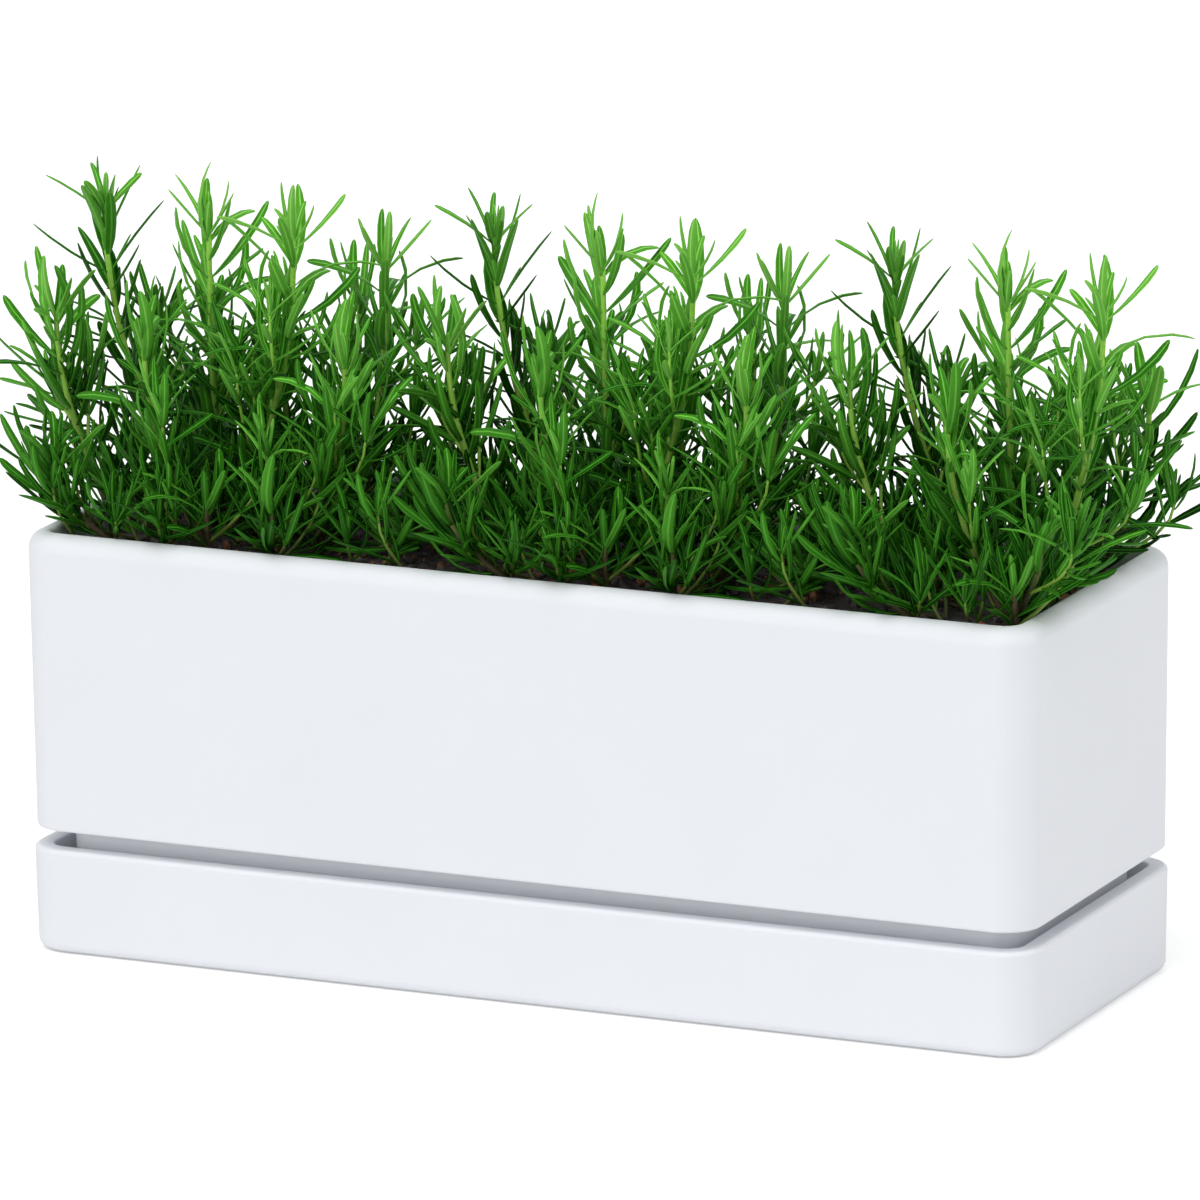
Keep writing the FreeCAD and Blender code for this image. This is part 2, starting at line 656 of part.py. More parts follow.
class Facets:
    """Corners and triangles of one closed faceted solid."""

    def __init__(self):
        self.corners = []
        self.triangles = []

    def add(self, *points):
        first = len(self.corners)
        self.corners.extend(points)
        return list(range(first, first + len(points)))

    def side(self, a, b, c, d):
        self.triangles += [(a, b, c), (a, c, d)]

    def tube(self, ring, next_ring):
        for k in range(4):
            following = (k + 1) % 4
            self.side(ring[k], ring[following], next_ring[following], next_ring[k])

    def leaf(self, a, b, c, d, leaf, size):
        """Leaf that grows out of the side a, b, c, d: a keeled middle and a pointed tip."""
        middle, tip, side, upper = leaf
        half = size.leaf_width / 2
        keel, right, left, point = self.add(middle - upper * size.leaf_thickness,
                                            middle + side * half, middle - side * half, tip)
        self.triangles += [(a, b, keel), (b, c, right), (b, right, keel), (c, d, left),
                           (c, left, right), (d, a, keel), (d, keel, left),
                           (keel, right, point), (right, left, point), (left, keel, point)]

    def solid(self):
        faces = []
        for triangle in self.triangles:
            points = [self.corners[index] for index in triangle]
            faces.append(Part.Face(Part.makePolygon(points + points[:1])))
        return Part.makeSolid(Part.makeShell(faces))


def leaf_lean(share, chance, size):
    """Angle between a leaf and its stem: wide low down, narrow at the tip."""
    scatter = chance.uniform(-size.leaf_scatter_angle, size.leaf_scatter_angle)
    lean = size.leaf_low_angle + (size.leaf_top_angle - size.leaf_low_angle) * share
    return math.radians(lean + scatter)


def leaf_reach(share, chance, size):
    """Length of a leaf, by its place along the stem: the youngest at the tip are short."""
    into_top = max(0.0, 1 - (1 - share) / size.young_top_share)
    young = 1 - (1 - size.young_leaf_share) * into_top
    return size.leaf_length * young * chance.uniform(size.leaf_short_share, 1.0)


def grow_sprig(stem, foliage, size):
    """Square stem with whorls of four leaves, each whorl turned from the last."""
    chance = random.Random(stem.seed)
    facets = Facets()
    rise = stem.tip.z - stem.foot.z
    whorls = max(2, round(rise / size.whorl_spacing))
    bottom = stem.foot - Vector(0, 0, size.root_depth)
    collar = stem.foot + Vector(0, 0, size.stem_collar)
    up = Vector(0, 0, 1)
    ring = facets.add(*square_ring(bottom, up, size.stem_width, stem.phase))
    facets.side(ring[3], ring[2], ring[1], ring[0])
    next_ring = facets.add(*square_ring(collar, up, size.stem_width, stem.phase))
    facets.tube(ring, next_ring)
    ring = next_ring
    for whorl in range(whorls):
        share = (whorl + size.first_whorl_share) / whorls
        half_base = size.leaf_base_height / 2 / rise
        direction = stem.direction(share)
        turn = stem.phase + math.radians(size.whorl_angle) * (whorl + 1)
        width = size.stem_width + (size.stem_tip_width - size.stem_width) * share
        low = facets.add(*square_ring(stem.point(share - half_base), direction, width, turn))
        high = facets.add(*square_ring(stem.point(share + half_base), direction, width, turn))
        facets.tube(ring, low)
        for k in range(4):
            side = [low[k], low[(k + 1) % 4], high[(k + 1) % 4], high[k]]
            base = sum((facets.corners[corner] for corner in side), Vector(0, 0, 0)) / 4
            out = (base - stem.point(share)).normalize()
            lean, reach = leaf_lean(share, chance, size), leaf_reach(share, chance, size)
            leaf = place_leaf(foliage, stem, base, direction, out, lean, reach, size)
            if leaf:
                facets.leaf(*side, leaf, size)
            else:
                facets.side(*side)
        ring = high
    bud = facets.add(stem.tip + stem.direction(1) * (size.whorl_spacing / 2))[0]
    for k in range(4):
        facets.triangles.append((ring[k], ring[(k + 1) % 4], bud))
    return facets.solid()


def build_sprigs(doc, size, stems):
    """One faceted solid for each stem with its leaves, clear of all the others."""
    foliage = Foliage(size)
    half = size.stem_width / 2
    for stem in stems:
        points = [stem.point(part / STEM_PARTS) for part in range(STEM_PARTS + 1)]
        for start, end in zip(points, points[1:]):
            foliage.add(stem.name, start, end, half, half)
    sprigs = []
    for stem in sorted(stems, key=lambda stem: stem.tip.z, reverse=True):
        sprig = doc.addObject("Part::Feature", stem.name)
        sprig.Label = stem.name
        sprig.Shape = grow_sprig(stem, foliage, size)
        sprig.Placement = Placement()
        sprigs.append(sprig)
    return sprigs


def check_and_export(doc, parts):
    """Stop on a failed object or a bad solid, then write each sub-part to its own file."""
    doc.recompute()
    for item in doc.Objects:
        if {"Invalid", "Error"} & set(item.State):
            raise RuntimeError(f"{item.Label} failed: {item.State}")
    os.makedirs("parts", exist_ok=True)
    for part in parts:
        if part.Shape.isNull() or not part.Shape.isValid() or part.Shape.Volume <= 0:
            raise RuntimeError(f"{part.Label} is not a sound solid")
    for part in parts:
        part.Shape.exportStep(f"parts/{part.Label}.step")
        print(part.Label, len(part.Shape.Solids), round(part.Shape.Volume))


document = FreeCAD.newDocument("herb_planter")
sizes = make_sheet(document)
planned_stems = plan_stems(sizes)
sub_parts = [build_tray(document, sizes), build_pot(document, sizes),
             build_soil(document, sizes, planned_stems)]
sub_parts += build_sprigs(document, sizes, planned_stems)
check_and_export(document, sub_parts)
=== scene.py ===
import math
import random
import bmesh
import bpy
import numpy as np
from mathutils import Matrix, Vector


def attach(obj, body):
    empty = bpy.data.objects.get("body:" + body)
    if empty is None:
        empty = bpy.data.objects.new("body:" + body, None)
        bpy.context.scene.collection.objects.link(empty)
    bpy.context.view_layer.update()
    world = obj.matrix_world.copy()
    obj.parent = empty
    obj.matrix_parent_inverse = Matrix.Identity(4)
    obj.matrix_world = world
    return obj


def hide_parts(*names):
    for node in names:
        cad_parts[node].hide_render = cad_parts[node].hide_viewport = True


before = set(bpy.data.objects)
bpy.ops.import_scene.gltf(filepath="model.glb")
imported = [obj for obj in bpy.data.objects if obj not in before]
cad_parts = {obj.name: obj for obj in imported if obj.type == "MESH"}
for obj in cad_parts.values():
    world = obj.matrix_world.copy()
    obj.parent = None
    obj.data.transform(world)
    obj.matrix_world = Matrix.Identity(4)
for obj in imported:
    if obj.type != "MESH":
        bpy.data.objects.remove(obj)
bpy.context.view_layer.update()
scene = bpy.context.scene
scene.view_settings.view_transform = "Standard"

# Camera at the photograph's viewing angle: a long lens a little above the planter and to its
# right, so that the front, the right end and the soil behind the rim show. Metres throughout.
camera_lens_mm = 391.95
camera_sensor_mm = 36
camera_yaw, camera_pitch, camera_roll = 0.426, 0.242, -0.0099
camera_aim = Vector((0.001308, 0.000439, 0.13678))
camera_distance = 4.83046
camera_reach = 60

forward = Vector((-math.sin(camera_yaw) * math.cos(camera_pitch),
                  math.cos(camera_yaw) * math.cos(camera_pitch), -math.sin(camera_pitch)))
level = Vector((math.cos(camera_yaw), math.sin(camera_yaw), 0))
upright = level.cross(forward)
across = level * math.cos(camera_roll) + upright * math.sin(camera_roll)
above = upright * math.cos(camera_roll) - level * math.sin(camera_roll)
bpy.ops.object.camera_add()
camera = bpy.context.object
camera.name = "photo_camera"
camera_place = Matrix.Translation(camera_aim - forward * camera_distance)
camera.matrix_world = camera_place @ Matrix((across, above, -forward)).transposed().to_4x4()
camera.data.lens = camera_lens_mm
camera.data.sensor_width = camera_sensor_mm
camera.data.clip_end = camera_reach
scene.camera = camera

# Studio: a wide pale floor, an even white room and four soft lamps: one high above the front, one
# lower in front that reaches into the gap, one at the right and one behind. The lens sees white.
floor_size = 30
floor_drop = 0.0002
floor_colour = (0.93, 0.93, 0.93, 1)
floor_roughness = 0.9
floor_glow = 0.30
room_light = 0.39
pure_white = (1, 1, 1, 1)
# Each lamp: its name, the way towards it, its strength and its spread in degrees.
lamps = (("high_lamp", Vector((-0.05, -0.43, 0.90)), 1.42, 50),
         ("low_lamp", Vector((-0.20, -0.94, 0.27)), 0.56, 14),
         ("side_lamp", Vector((0.86, 0.40, 0.42)), 0.79, 60),
         ("back_lamp", Vector((-0.45, 0.80, 0.36)), 0.40, 60))


def clear_selection():
    """Deselect every object, so that an operator acts only on what is picked next."""
    bpy.ops.object.select_all(action="DESELECT")


def new_material(name):
    """A node material with its Principled shader."""
    material = bpy.data.materials.new(name)
    material.use_nodes = True
    return material, material.node_tree.nodes["Principled BSDF"]


clear_selection()
bpy.ops.mesh.primitive_plane_add(size=floor_size, location=(0, 0, -floor_drop))
floor = bpy.context.object
floor.name = "studio_floor"
floor_paint, floor_shader = new_material("studio_floor_paint")
floor_shader.inputs["Base Color"].default_value = floor_colour
floor_shader.inputs["Roughness"].default_value = floor_roughness
floor_shader.inputs["Specular IOR Level"].default_value = 0
floor_nodes, floor_links = floor_paint.node_tree.nodes, floor_paint.node_tree.links
floor_ray = floor_nodes.new("ShaderNodeLightPath")
floor_lift = floor_nodes.new("ShaderNodeMath")
floor_lift.operation = "MULTIPLY"
floor_lift.inputs[1].default_value = floor_glow
floor_links.new(floor_ray.outputs["Is Camera Ray"], floor_lift.inputs[0])
floor_links.new(floor_lift.outputs[0], floor_shader.inputs["Emission Strength"])
floor_shader.inputs["Emission Color"].default_value = pure_white
floor.data.materials.append(floor_paint)

room = bpy.data.worlds.new("white_room")
scene.world = room
room.use_nodes = True
room_tree = room.node_tree
light_side = room_tree.nodes["Background"]
light_side.inputs["Strength"].default_value = room_light
light_side.inputs["Color"].default_value = pure_white
seen_side = room_tree.nodes.new("ShaderNodeBackground")
seen_side.inputs["Color"].default_value = pure_white
light_path = room_tree.nodes.new("ShaderNodeLightPath")
room_mix = room_tree.nodes.new("ShaderNodeMixShader")
room_tree.links.new(light_path.outputs["Is Camera Ray"], room_mix.inputs["Fac"])
room_tree.links.new(light_side.outputs["Background"], room_mix.inputs[1])
room_tree.links.new(seen_side.outputs["Background"], room_mix.inputs[2])
room_tree.links.new(room_mix.outputs["Shader"], room_tree.nodes["World Output"].inputs["Surface"])

for lamp_name, lamp_way, lamp_power, lamp_spread in lamps:
    bpy.ops.object.light_add(type="SUN")
    lamp = bpy.context.object
    lamp.name = lamp_name
    lamp.rotation_euler = lamp_way.to_track_quat("Z", "Y").to_euler()
    lamp.data.energy = lamp_power
    lamp.data.angle = math.radians(lamp_spread)

# Drip tray: a deep injection-moulded tray of white plastic with a flat underside, sides that
# lean in a little downwards, a rounded lip and round-ended bars on its floor for the pot's foot.
planter_length = 0.406
planter_depth = 0.1475
corner_radius = 0.0145
corner_steps = 14
tray_height = 0.040
tray_inset = 0.0003
tray_wall = 0.0074
tray_floor = 0.004
tray_lean = math.tan(math.radians(1.0))
foot_inset = 0.0127
seat_bar_count = 6
seat_bar_height = 0.003
seat_bar_width = 0.008
seat_bar_end_radius = seat_bar_width / 2.05
seat_bar_end_room = 0.009
seat_bar_sink = 0.0005

# Rounds: a radius and its number of steps.
tray_base_round = (0.004, 8)
tray_lip_outer = (0.0018, 6)
tray_lip_inner = (0.0009, 4)
tray_inside_round = (0.003, 5)
seat_bar_round = (0.0006, 2)

# How edges and faces are told apart: how near to a place they lie, how much a wall's normal may
# rise, and how much of a wall's thickness belongs to its outer edge.
place_tolerance = 0.00001
wall_normal_rise = 0.5
outer_share = 0.95

# Plastic: mottles are a scale and a contrast, and bumps a strength and a distance.
plastic_white = (0.826, 0.847, 0.886, 1)
plastic_pale = (0.809, 0.830, 0.872, 1)
plastic_clouds = (22, 1.6)
plastic_grain = (1600, 1.2)
plastic_roughness = (0.40, 0.52)
plastic_bump = (0.12, 0.00006)
plastic_refraction = 1.46
plastic_smooth_angle = 32
mottle_detail = 4
mottle_middle = 0.5


def activate(piece):
    """Make the piece the active object and the only selected one."""
    clear_selection()
    piece.select_set(True)
    bpy.context.view_layer.objects.active = piece


def edit_piece(piece, kind, test):
    """In edit mode, select only the piece's elements of one kind that pass the test."""
    if bpy.context.mode != "EDIT_MESH":
        activate(piece)
        bpy.ops.object.mode_set(mode="EDIT")
    bpy.ops.mesh.select_mode(type="EDGE")
    bpy.ops.mesh.select_all(action="DESELECT")
    bpy.ops.mesh.select_mode(type=kind)
    mesh = bmesh.from_edit_mesh(piece.data)
    groups = {"VERT": mesh.verts, "EDGE": mesh.edges, "FACE": mesh.faces}
    for element in groups[kind]:
        if test(element):
            element.select_set(True)
    bmesh.update_edit_mesh(piece.data)


def leave_edit():
    """Go back to object mode, which writes the edited mesh to the piece."""
    bpy.ops.object.mode_set(mode="OBJECT")


def lies_at(element, height):
    """True if all corners of an edge or a face are at a height."""
    return all(abs(corner.co.z - height) < place_tolerance for corner in element.verts)


def edge_at(height, test=None):
    """Test for edges where a level face at a height meets a wall, with a test of their middle."""
    def passes(edge):
        at_wall = any(abs(face.normal.z) < wall_normal_rise for face in edge.link_faces)
        middle = (edge.verts[0].co + edge.verts[1].co) / 2
        return lies_at(edge, height) and at_wall and (test is None or test(middle))
    return passes


def face_at(height):
    """Test for level faces at a height."""
    return lambda face: lies_at(face, height)


def near_outline(length, depth, within):
    """Test for places closer than a distance to the outline of a rounded rectangle."""
    return lambda p: abs(p.x) > length / 2 - within or abs(p.y) > depth / 2 - within


def add_block(name, length, depth, low, high, radius):
    """Upright block with rounded corners, from a cube with its four upright edges bevelled."""
    clear_selection()
    bpy.ops.mesh.primitive_cube_add(size=1, location=(0, 0, (low + high) / 2))
    block = bpy.context.object
    block.name = name
    block.scale = (length, depth, high - low)
    bpy.ops.object.transform_apply(location=True, rotation=True, scale=True)
    edit_piece(block, "EDGE", lambda e: abs(e.verts[0].co.z - e.verts[1].co.z) > (high - low) / 2)
    bpy.ops.mesh.bevel(offset=radius, segments=corner_steps, affect="EDGES")
    leave_edit()
    return block


def lean_in(piece, height, length, depth, inward):
    """Narrow a level face all round by the same amount, as a mould's draft does."""
    edit_piece(piece, "FACE", face_at(height))
    shares = ((length - 2 * inward) / length, (depth - 2 * inward) / depth, 1)
    bpy.ops.transform.resize(value=shares, center_override=(0, 0, height))


def round_edges(piece, test, radius, steps):
    """Bevel the piece's edges that pass the test, and stay in edit mode."""
    edit_piece(piece, "EDGE", test)
    bpy.ops.mesh.bevel(offset=radius, segments=steps, affect="EDGES")


def apply_modifier(piece, kind, **settings):
    """Add one modifier to the piece and apply it."""
    activate(piece)
    modifier = piece.modifiers.new(kind.title(), kind)
    for name, value in settings.items():
        setattr(modifier, name, value)
    bpy.ops.object.modifier_apply(modifier=modifier.name)


def combine(piece, tool, operation):
    """Join the tool to the piece, or cut it out of it, and drop the tool."""
    apply_modifier(piece, "BOOLEAN", operation=operation, object=tool, solver="EXACT")
    bpy.data.objects.remove(tool, do_unlink=True)


def smooth(piece, angle):
    """Smooth rounds between sharp edges, with broad faces kept flat."""
    activate(piece)
    bpy.ops.object.shade_smooth_by_angle(angle=math.radians(angle))
    apply_modifier(piece, "WEIGHTED_NORMAL", keep_sharp=True)


def paint(piece, material):
    """Give the piece one material, in place of any it got from a cut."""
    piece.data.materials.clear()
    piece.data.materials.append(material)


def mottle_group():
    """Node group: two colours mixed by cloudy noise, with the noise itself as a value."""
    group = bpy.data.node_groups.new("cloudy_mottle", "ShaderNodeTree")
    for name, kind in (("Vector", "NodeSocketVector"), ("First", "NodeSocketColor"),
                       ("Second", "NodeSocketColor"), ("Scale", "NodeSocketFloat"),
                       ("Contrast", "NodeSocketFloat")):
        group.interface.new_socket(name, in_out="INPUT", socket_type=kind)
    for name, kind in (("Color", "NodeSocketColor"), ("Value", "NodeSocketFloat")):
        group.interface.new_socket(name, in_out="OUTPUT", socket_type=kind)
    nodes, links = group.nodes, group.links
    source = nodes.new("NodeGroupInput")
    result = nodes.new("NodeGroupOutput")
    noise = nodes.new("ShaderNodeTexNoise")
    noise.inputs["Detail"].default_value = mottle_detail
    links.new(source.outputs["Vector"], noise.inputs["Vector"])
    links.new(source.outputs["Scale"], noise.inputs["Scale"])
    centred = nodes.new("ShaderNodeMath")
    centred.operation = "SUBTRACT"
    centred.inputs[1].default_value = mottle_middle
    links.new(noise.outputs["Fac"], centred.inputs[0])
    spread = nodes.new("ShaderNodeMath")
    spread.operation = "MULTIPLY_ADD"
    spread.use_clamp = True
    spread.inputs[2].default_value = mottle_middle
    links.new(centred.outputs[0], spread.inputs[0])
    links.new(source.outputs["Contrast"], spread.inputs[1])
    mix = nodes.new("ShaderNodeMix")
    mix.data_type = "RGBA"
    links.new(spread.outputs[0], mix.inputs["Factor"])
    links.new(source.outputs["First"], mix.inputs["A"])
    links.new(source.outputs["Second"], mix.inputs["B"])
    links.new(mix.outputs["Result"], result.inputs["Color"])
    links.new(spread.outputs[0], result.inputs["Value"])
    return group


cloudy_mottle = mottle_group()


def add_mottle(material, first, second, scale, contrast):
    """Place the mottle group in a material, on the piece's own coordinates."""
    nodes, links = material.node_tree.nodes, material.node_tree.links
    mottle = nodes.new("ShaderNodeGroup")
    mottle.node_tree = cloudy_mottle
    place = nodes.new("ShaderNodeTexCoord")
    links.new(place.outputs["Object"], mottle.inputs["Vector"])
    mottle.inputs["First"].default_value = first
    mottle.inputs["Second"].default_value = second
    mottle.inputs["Scale"].default_value = scale
    mottle.inputs["Contrast"].default_value = contrast
    return mottle


def add_bump(material, height, strength, distance):
    """Feed a height value to the shader's normal through a bump node."""
    nodes, links = material.node_tree.nodes, material.node_tree.links
    bump = nodes.new("ShaderNodeBump")
    bump.inputs["Strength"].default_value = strength
    bump.inputs["Distance"].default_value = distance
    links.new(height, bump.inputs["Height"])
    links.new(bump.outputs["Normal"], nodes["Principled BSDF"].inputs["Normal"])


def spread_value(material, value, low, high):
    """Map a 0 to 1 value onto a range."""
    nodes, links = material.node_tree.nodes, material.node_tree.links
    spread = nodes.new("ShaderNodeMapRange")
    spread.inputs["To Min"].default_value = low
    spread.inputs["To Max"].default_value = high
    links.new(value, spread.inputs["Value"])
    return spread.outputs["Result"]


white_plastic, plastic_shader = new_material("moulded_white_plastic")
plastic_links = white_plastic.node_tree.links
clouds = add_mottle(white_plastic, plastic_white, plastic_pale, *plastic_clouds)
plastic_links.new(clouds.outputs["Color"], plastic_shader.inputs["Base Color"])
grain = add_mottle(white_plastic, plastic_white, plastic_pale, *plastic_grain)
plastic_links.new(spread_value(white_plastic, grain.outputs["Value"], *plastic_roughness),
                  plastic_shader.inputs["Roughness"])
add_bump(white_plastic, grain.outputs["Value"], *plastic_bump)
plastic_shader.inputs["IOR"].default_value = plastic_refraction

tray_length, tray_depth = planter_length - 2 * tray_inset, planter_depth - 2 * tray_inset
tray = add_block("drip_tray_shell", tray_length, tray_depth, 0, tray_height,
                 corner_radius - tray_inset)
lean_in(tray, 0, tray_length, tray_depth, tray_height * tray_lean)
edit_piece(tray, "FACE", face_at(tray_height))
bpy.ops.mesh.inset(thickness=tray_wall)
bpy.ops.mesh.extrude_region_move(TRANSFORM_OT_translate={"value": (0, 0, tray_floor - tray_height)})
well_length, well_depth = tray_length - 2 * tray_wall, tray_depth - 2 * tray_wall
lean_in(tray, tray_floor, well_length, well_depth, (tray_height - tray_floor) * tray_lean)
round_edges(tray, edge_at(tray_floor), *tray_inside_round)
tray_outer = near_outline(tray_length, tray_depth, tray_wall * outer_share)
round_edges(tray, edge_at(tray_height, lambda p: not tray_outer(p)), *tray_lip_inner)
round_edges(tray, edge_at(tray_height, tray_outer), *tray_lip_outer)
round_edges(tray, edge_at(0), *tray_base_round)
leave_edit()

bar_length = planter_depth - 2 * foot_inset - 2 * seat_bar_end_room
bar_pitch = (planter_length - 2 * foot_inset) / seat_bar_count
bars = add_block("seat_bars", seat_bar_width, bar_length, tray_floor - seat_bar_sink,
                 tray_floor + seat_bar_height, seat_bar_end_radius)
round_edges(bars, edge_at(tray_floor + seat_bar_height), *seat_bar_round)
leave_edit()
apply_modifier(bars, "ARRAY", count=seat_bar_count, use_relative_offset=False,
               use_constant_offset=True, constant_offset_displace=(bar_pitch, 0, 0))
bars.location.x = -bar_pitch * (seat_bar_count - 1) / 2
bpy.ops.object.transform_apply(location=True, rotation=True, scale=True)
combine(tray, bars, "UNION")
smooth(tray, plastic_smooth_angle)
paint(tray, white_plastic)
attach(tray, "tray")
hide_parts("drip_tray")

# Pot: a thick-walled white plastic box with a rolled rim. Under the ledge at its bottom it steps
# in to a narrower foot that stands on the tray's bars, with dished drain places in its floor.
planter_height = 0.160
gap_height = 0.007
pot_base = tray_height + gap_height
pot_wall = 0.0086
pot_lean = math.tan(math.radians(0.53))
ledge_thickness = 0.006
ledge_top = pot_base + ledge_thickness
foot_base = tray_floor + seat_bar_height
foot_floor = 0.0045
foot_floor_top = foot_base + foot_floor
foot_radius = 0.010
foot_wall = 0.0045
foot_lean = math.tan(math.radians(1.0))
rim_outer_round = (0.0066, 12)
rim_inner_round = (0.0016, 5)
pot_edge_round = (0.0012, 4)
foot_edge_round = (0.002, 5)
rose_count = 5
rose_dish_radius = 0.013
rose_dish_depth = 0.0015
rose_dish_steps = 40
rose_ring_radius = 0.0075
rose_hole_radius = 0.0019
rose_hole_steps = 16
rose_hole_count = 3

pot = add_block("planter_pot_shell", planter_length, planter_depth, pot_base, planter_height,
                corner_radius)
pot_rise = planter_height - pot_base
lean_in(pot, pot_base, planter_length, planter_depth, pot_rise * pot_lean)
edit_piece(pot, "FACE", face_at(planter_height))
bpy.ops.mesh.inset(thickness=pot_wall)
cavity_rise = planter_height - ledge_top
bpy.ops.mesh.extrude_region_move(TRANSFORM_OT_translate={"value": (0, 0, -cavity_rise)})
cavity_length, cavity_depth = planter_length - 2 * pot_wall, planter_depth - 2 * pot_wall
lean_in(pot, ledge_top, cavity_length, cavity_depth, cavity_rise * pot_lean)
pot_outer = near_outline(planter_length, planter_depth, pot_wall * outer_share)
round_edges(pot, edge_at(planter_height, lambda p: not pot_outer(p)), *rim_inner_round)
round_edges(pot, edge_at(planter_height, pot_outer), *rim_outer_round)
round_edges(pot, edge_at(pot_base), *pot_edge_round)
leave_edit()

foot_length, foot_depth = planter_length - 2 * foot_inset, planter_depth - 2 * foot_inset
foot_top = (pot_base + ledge_top) / 2
foot = add_block("pot_foot", foot_length, foot_depth, foot_base, foot_top, foot_radius)
lean_in(foot, foot_base, foot_length, foot_depth, (foot_top - foot_base) * foot_lean)
round_edges(foot, edge_at(foot_base), *foot_edge_round)
leave_edit()
combine(pot, foot, "UNION")

foot_room_length, foot_room_depth = foot_length - 2 * foot_wall, foot_depth - 2 * foot_wall
foot_room_top = ledge_top + foot_wall
foot_room_rise = foot_room_top - foot_floor_top
foot_well = add_block("foot_well", foot_room_length, foot_room_depth, foot_floor_top,
                      foot_room_top, foot_radius - foot_wall)
lean_in(foot_well, foot_floor_top, foot_room_length, foot_room_depth,
        foot_room_rise * foot_lean)
leave_edit()
combine(pot, foot_well, "DIFFERENCE")

rose_pitch = foot_length / rose_count
for rose in range(rose_count):
    rose_x = (rose - (rose_count - 1) / 2) * rose_pitch
    cutters = [(rose_x, 0, rose_dish_radius, foot_floor_top - rose_dish_depth, rose_dish_steps)]
    for hole in range(rose_hole_count):
        angle = 2 * math.pi * hole / rose_hole_count
        cutters.append((rose_x + rose_ring_radius * math.cos(angle),
                        rose_ring_radius * math.sin(angle), rose_hole_radius, 0,
                        rose_hole_steps))
    for x, y, radius, low, steps in cutters:
        clear_selection()
        bpy.ops.mesh.primitive_cylinder_add(vertices=steps, radius=radius, depth=ledge_top - low,
                                            location=(x, y, (ledge_top + low) / 2))
        combine(pot, bpy.context.object, "DIFFERENCE")
smooth(pot, plastic_smooth_angle)
paint(pot, white_plastic)
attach(pot, "planter")
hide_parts("planter_pot")

# Potting soil: dark grey peat, filled in loose to a finger's breadth under the rim and heaped a
# little along the middle. It fills the pot down into the foot.
soil_drop = 0.011
soil_crown = 0.004
soil_slope_run = 0.015
soil_clearance = 0.0002
soil_grid_step = 0.0024
soil_smooth_angle = 60
# Heaps of the soil's surface: how wide and how high.
soil_heaps = ((0.030, 0.0030), (0.009, 0.0026), (0.004, 0.0016))
soil_dark = (0.034, 0.029, 0.030, 1)
soil_light = (0.150, 0.126, 0.124, 1)
soil_roughness = 0.95
soil_mottle = (260, 2.6)
soil_crumble = (900, 2.0)
soil_bump = (0.8, 0.0006)


def soil_height(x, y):
    """Height of the level soil: it slopes up from the pot's walls to a flat crown."""
    from_end = planter_length / 2 - pot_wall - abs(x)
    from_side = planter_depth / 2 - pot_wall - abs(y)
    rise = min(from_end / soil_slope_run, from_side / soil_slope_run, 1.0)
    return planter_height - soil_drop + soil_crown * max(rise, 0.0)


soil_potting, soil_shader = new_material("potting_soil_crumbs")
peat = add_mottle(soil_potting, soil_dark, soil_light, *soil_mottle)
soil_potting.node_tree.links.new(peat.outputs["Color"], soil_shader.inputs["Base Color"])
soil_shader.inputs["Roughness"].default_value = soil_roughness
crumble = add_mottle(soil_potting, soil_dark, soil_light, *soil_crumble)
add_bump(soil_potting, crumble.outputs["Value"], *soil_bump)

clear_selection()
bpy.ops.mesh.primitive_grid_add(x_subdivisions=round(planter_length / soil_grid_step),
                                y_subdivisions=round(planter_depth / soil_grid_step), size=1)
soil = bpy.context.object
soil.name = "potting_soil_bed"
soil.scale = (planter_length, planter_depth, 1)
bpy.ops.object.transform_apply(location=True, rotation=True, scale=True)
for corner in soil.data.vertices:
    corner.co.z = soil_height(corner.co.x, corner.co.y) - soil_heaps[0][1] / 2
for heap_size, heap_height in soil_heaps:
    heap = bpy.data.textures.new("soil_heap", "CLOUDS")
    heap.noise_scale = heap_size
    apply_modifier(soil, "DISPLACE", texture=heap, texture_coords="LOCAL", direction="Z",
                   strength=heap_height, mid_level=0.5)
edit_piece(soil, "FACE", lambda face: True)
bpy.ops.mesh.extrude_region_move(TRANSFORM_OT_translate={"value": (0, 0, -planter_height)})
bpy.ops.transform.resize(value=(1, 1, 0), center_override=(0, 0, 0))
bpy.ops.mesh.select_all(action="SELECT")
bpy.ops.mesh.normals_make_consistent(inside=False)
leave_edit()

bed_length, bed_depth = cavity_length - 2 * soil_clearance, cavity_depth - 2 * soil_clearance
bed = add_block("soil_bed_space", bed_length, bed_depth, ledge_top, planter_height,
                corner_radius - pot_wall - soil_clearance)
lean_in(bed, ledge_top, bed_length, bed_depth, cavity_rise * pot_lean)
leave_edit()
lower_length = foot_room_length - 2 * soil_clearance
lower_depth = foot_room_depth - 2 * soil_clearance
lower = add_block("soil_foot_space", lower_length, lower_depth, foot_floor_top, foot_room_top,
                  foot_radius - foot_wall - soil_clearance)
lean_in(lower, foot_floor_top, lower_length, lower_depth, foot_room_rise * foot_lean)
leave_edit()
combine(bed, lower, "UNION")
combine(soil, bed, "INTERSECT")
smooth(soil, soil_smooth_angle)
paint(soil, soil_potting)
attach(soil, "planter")
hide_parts("potting_soil")

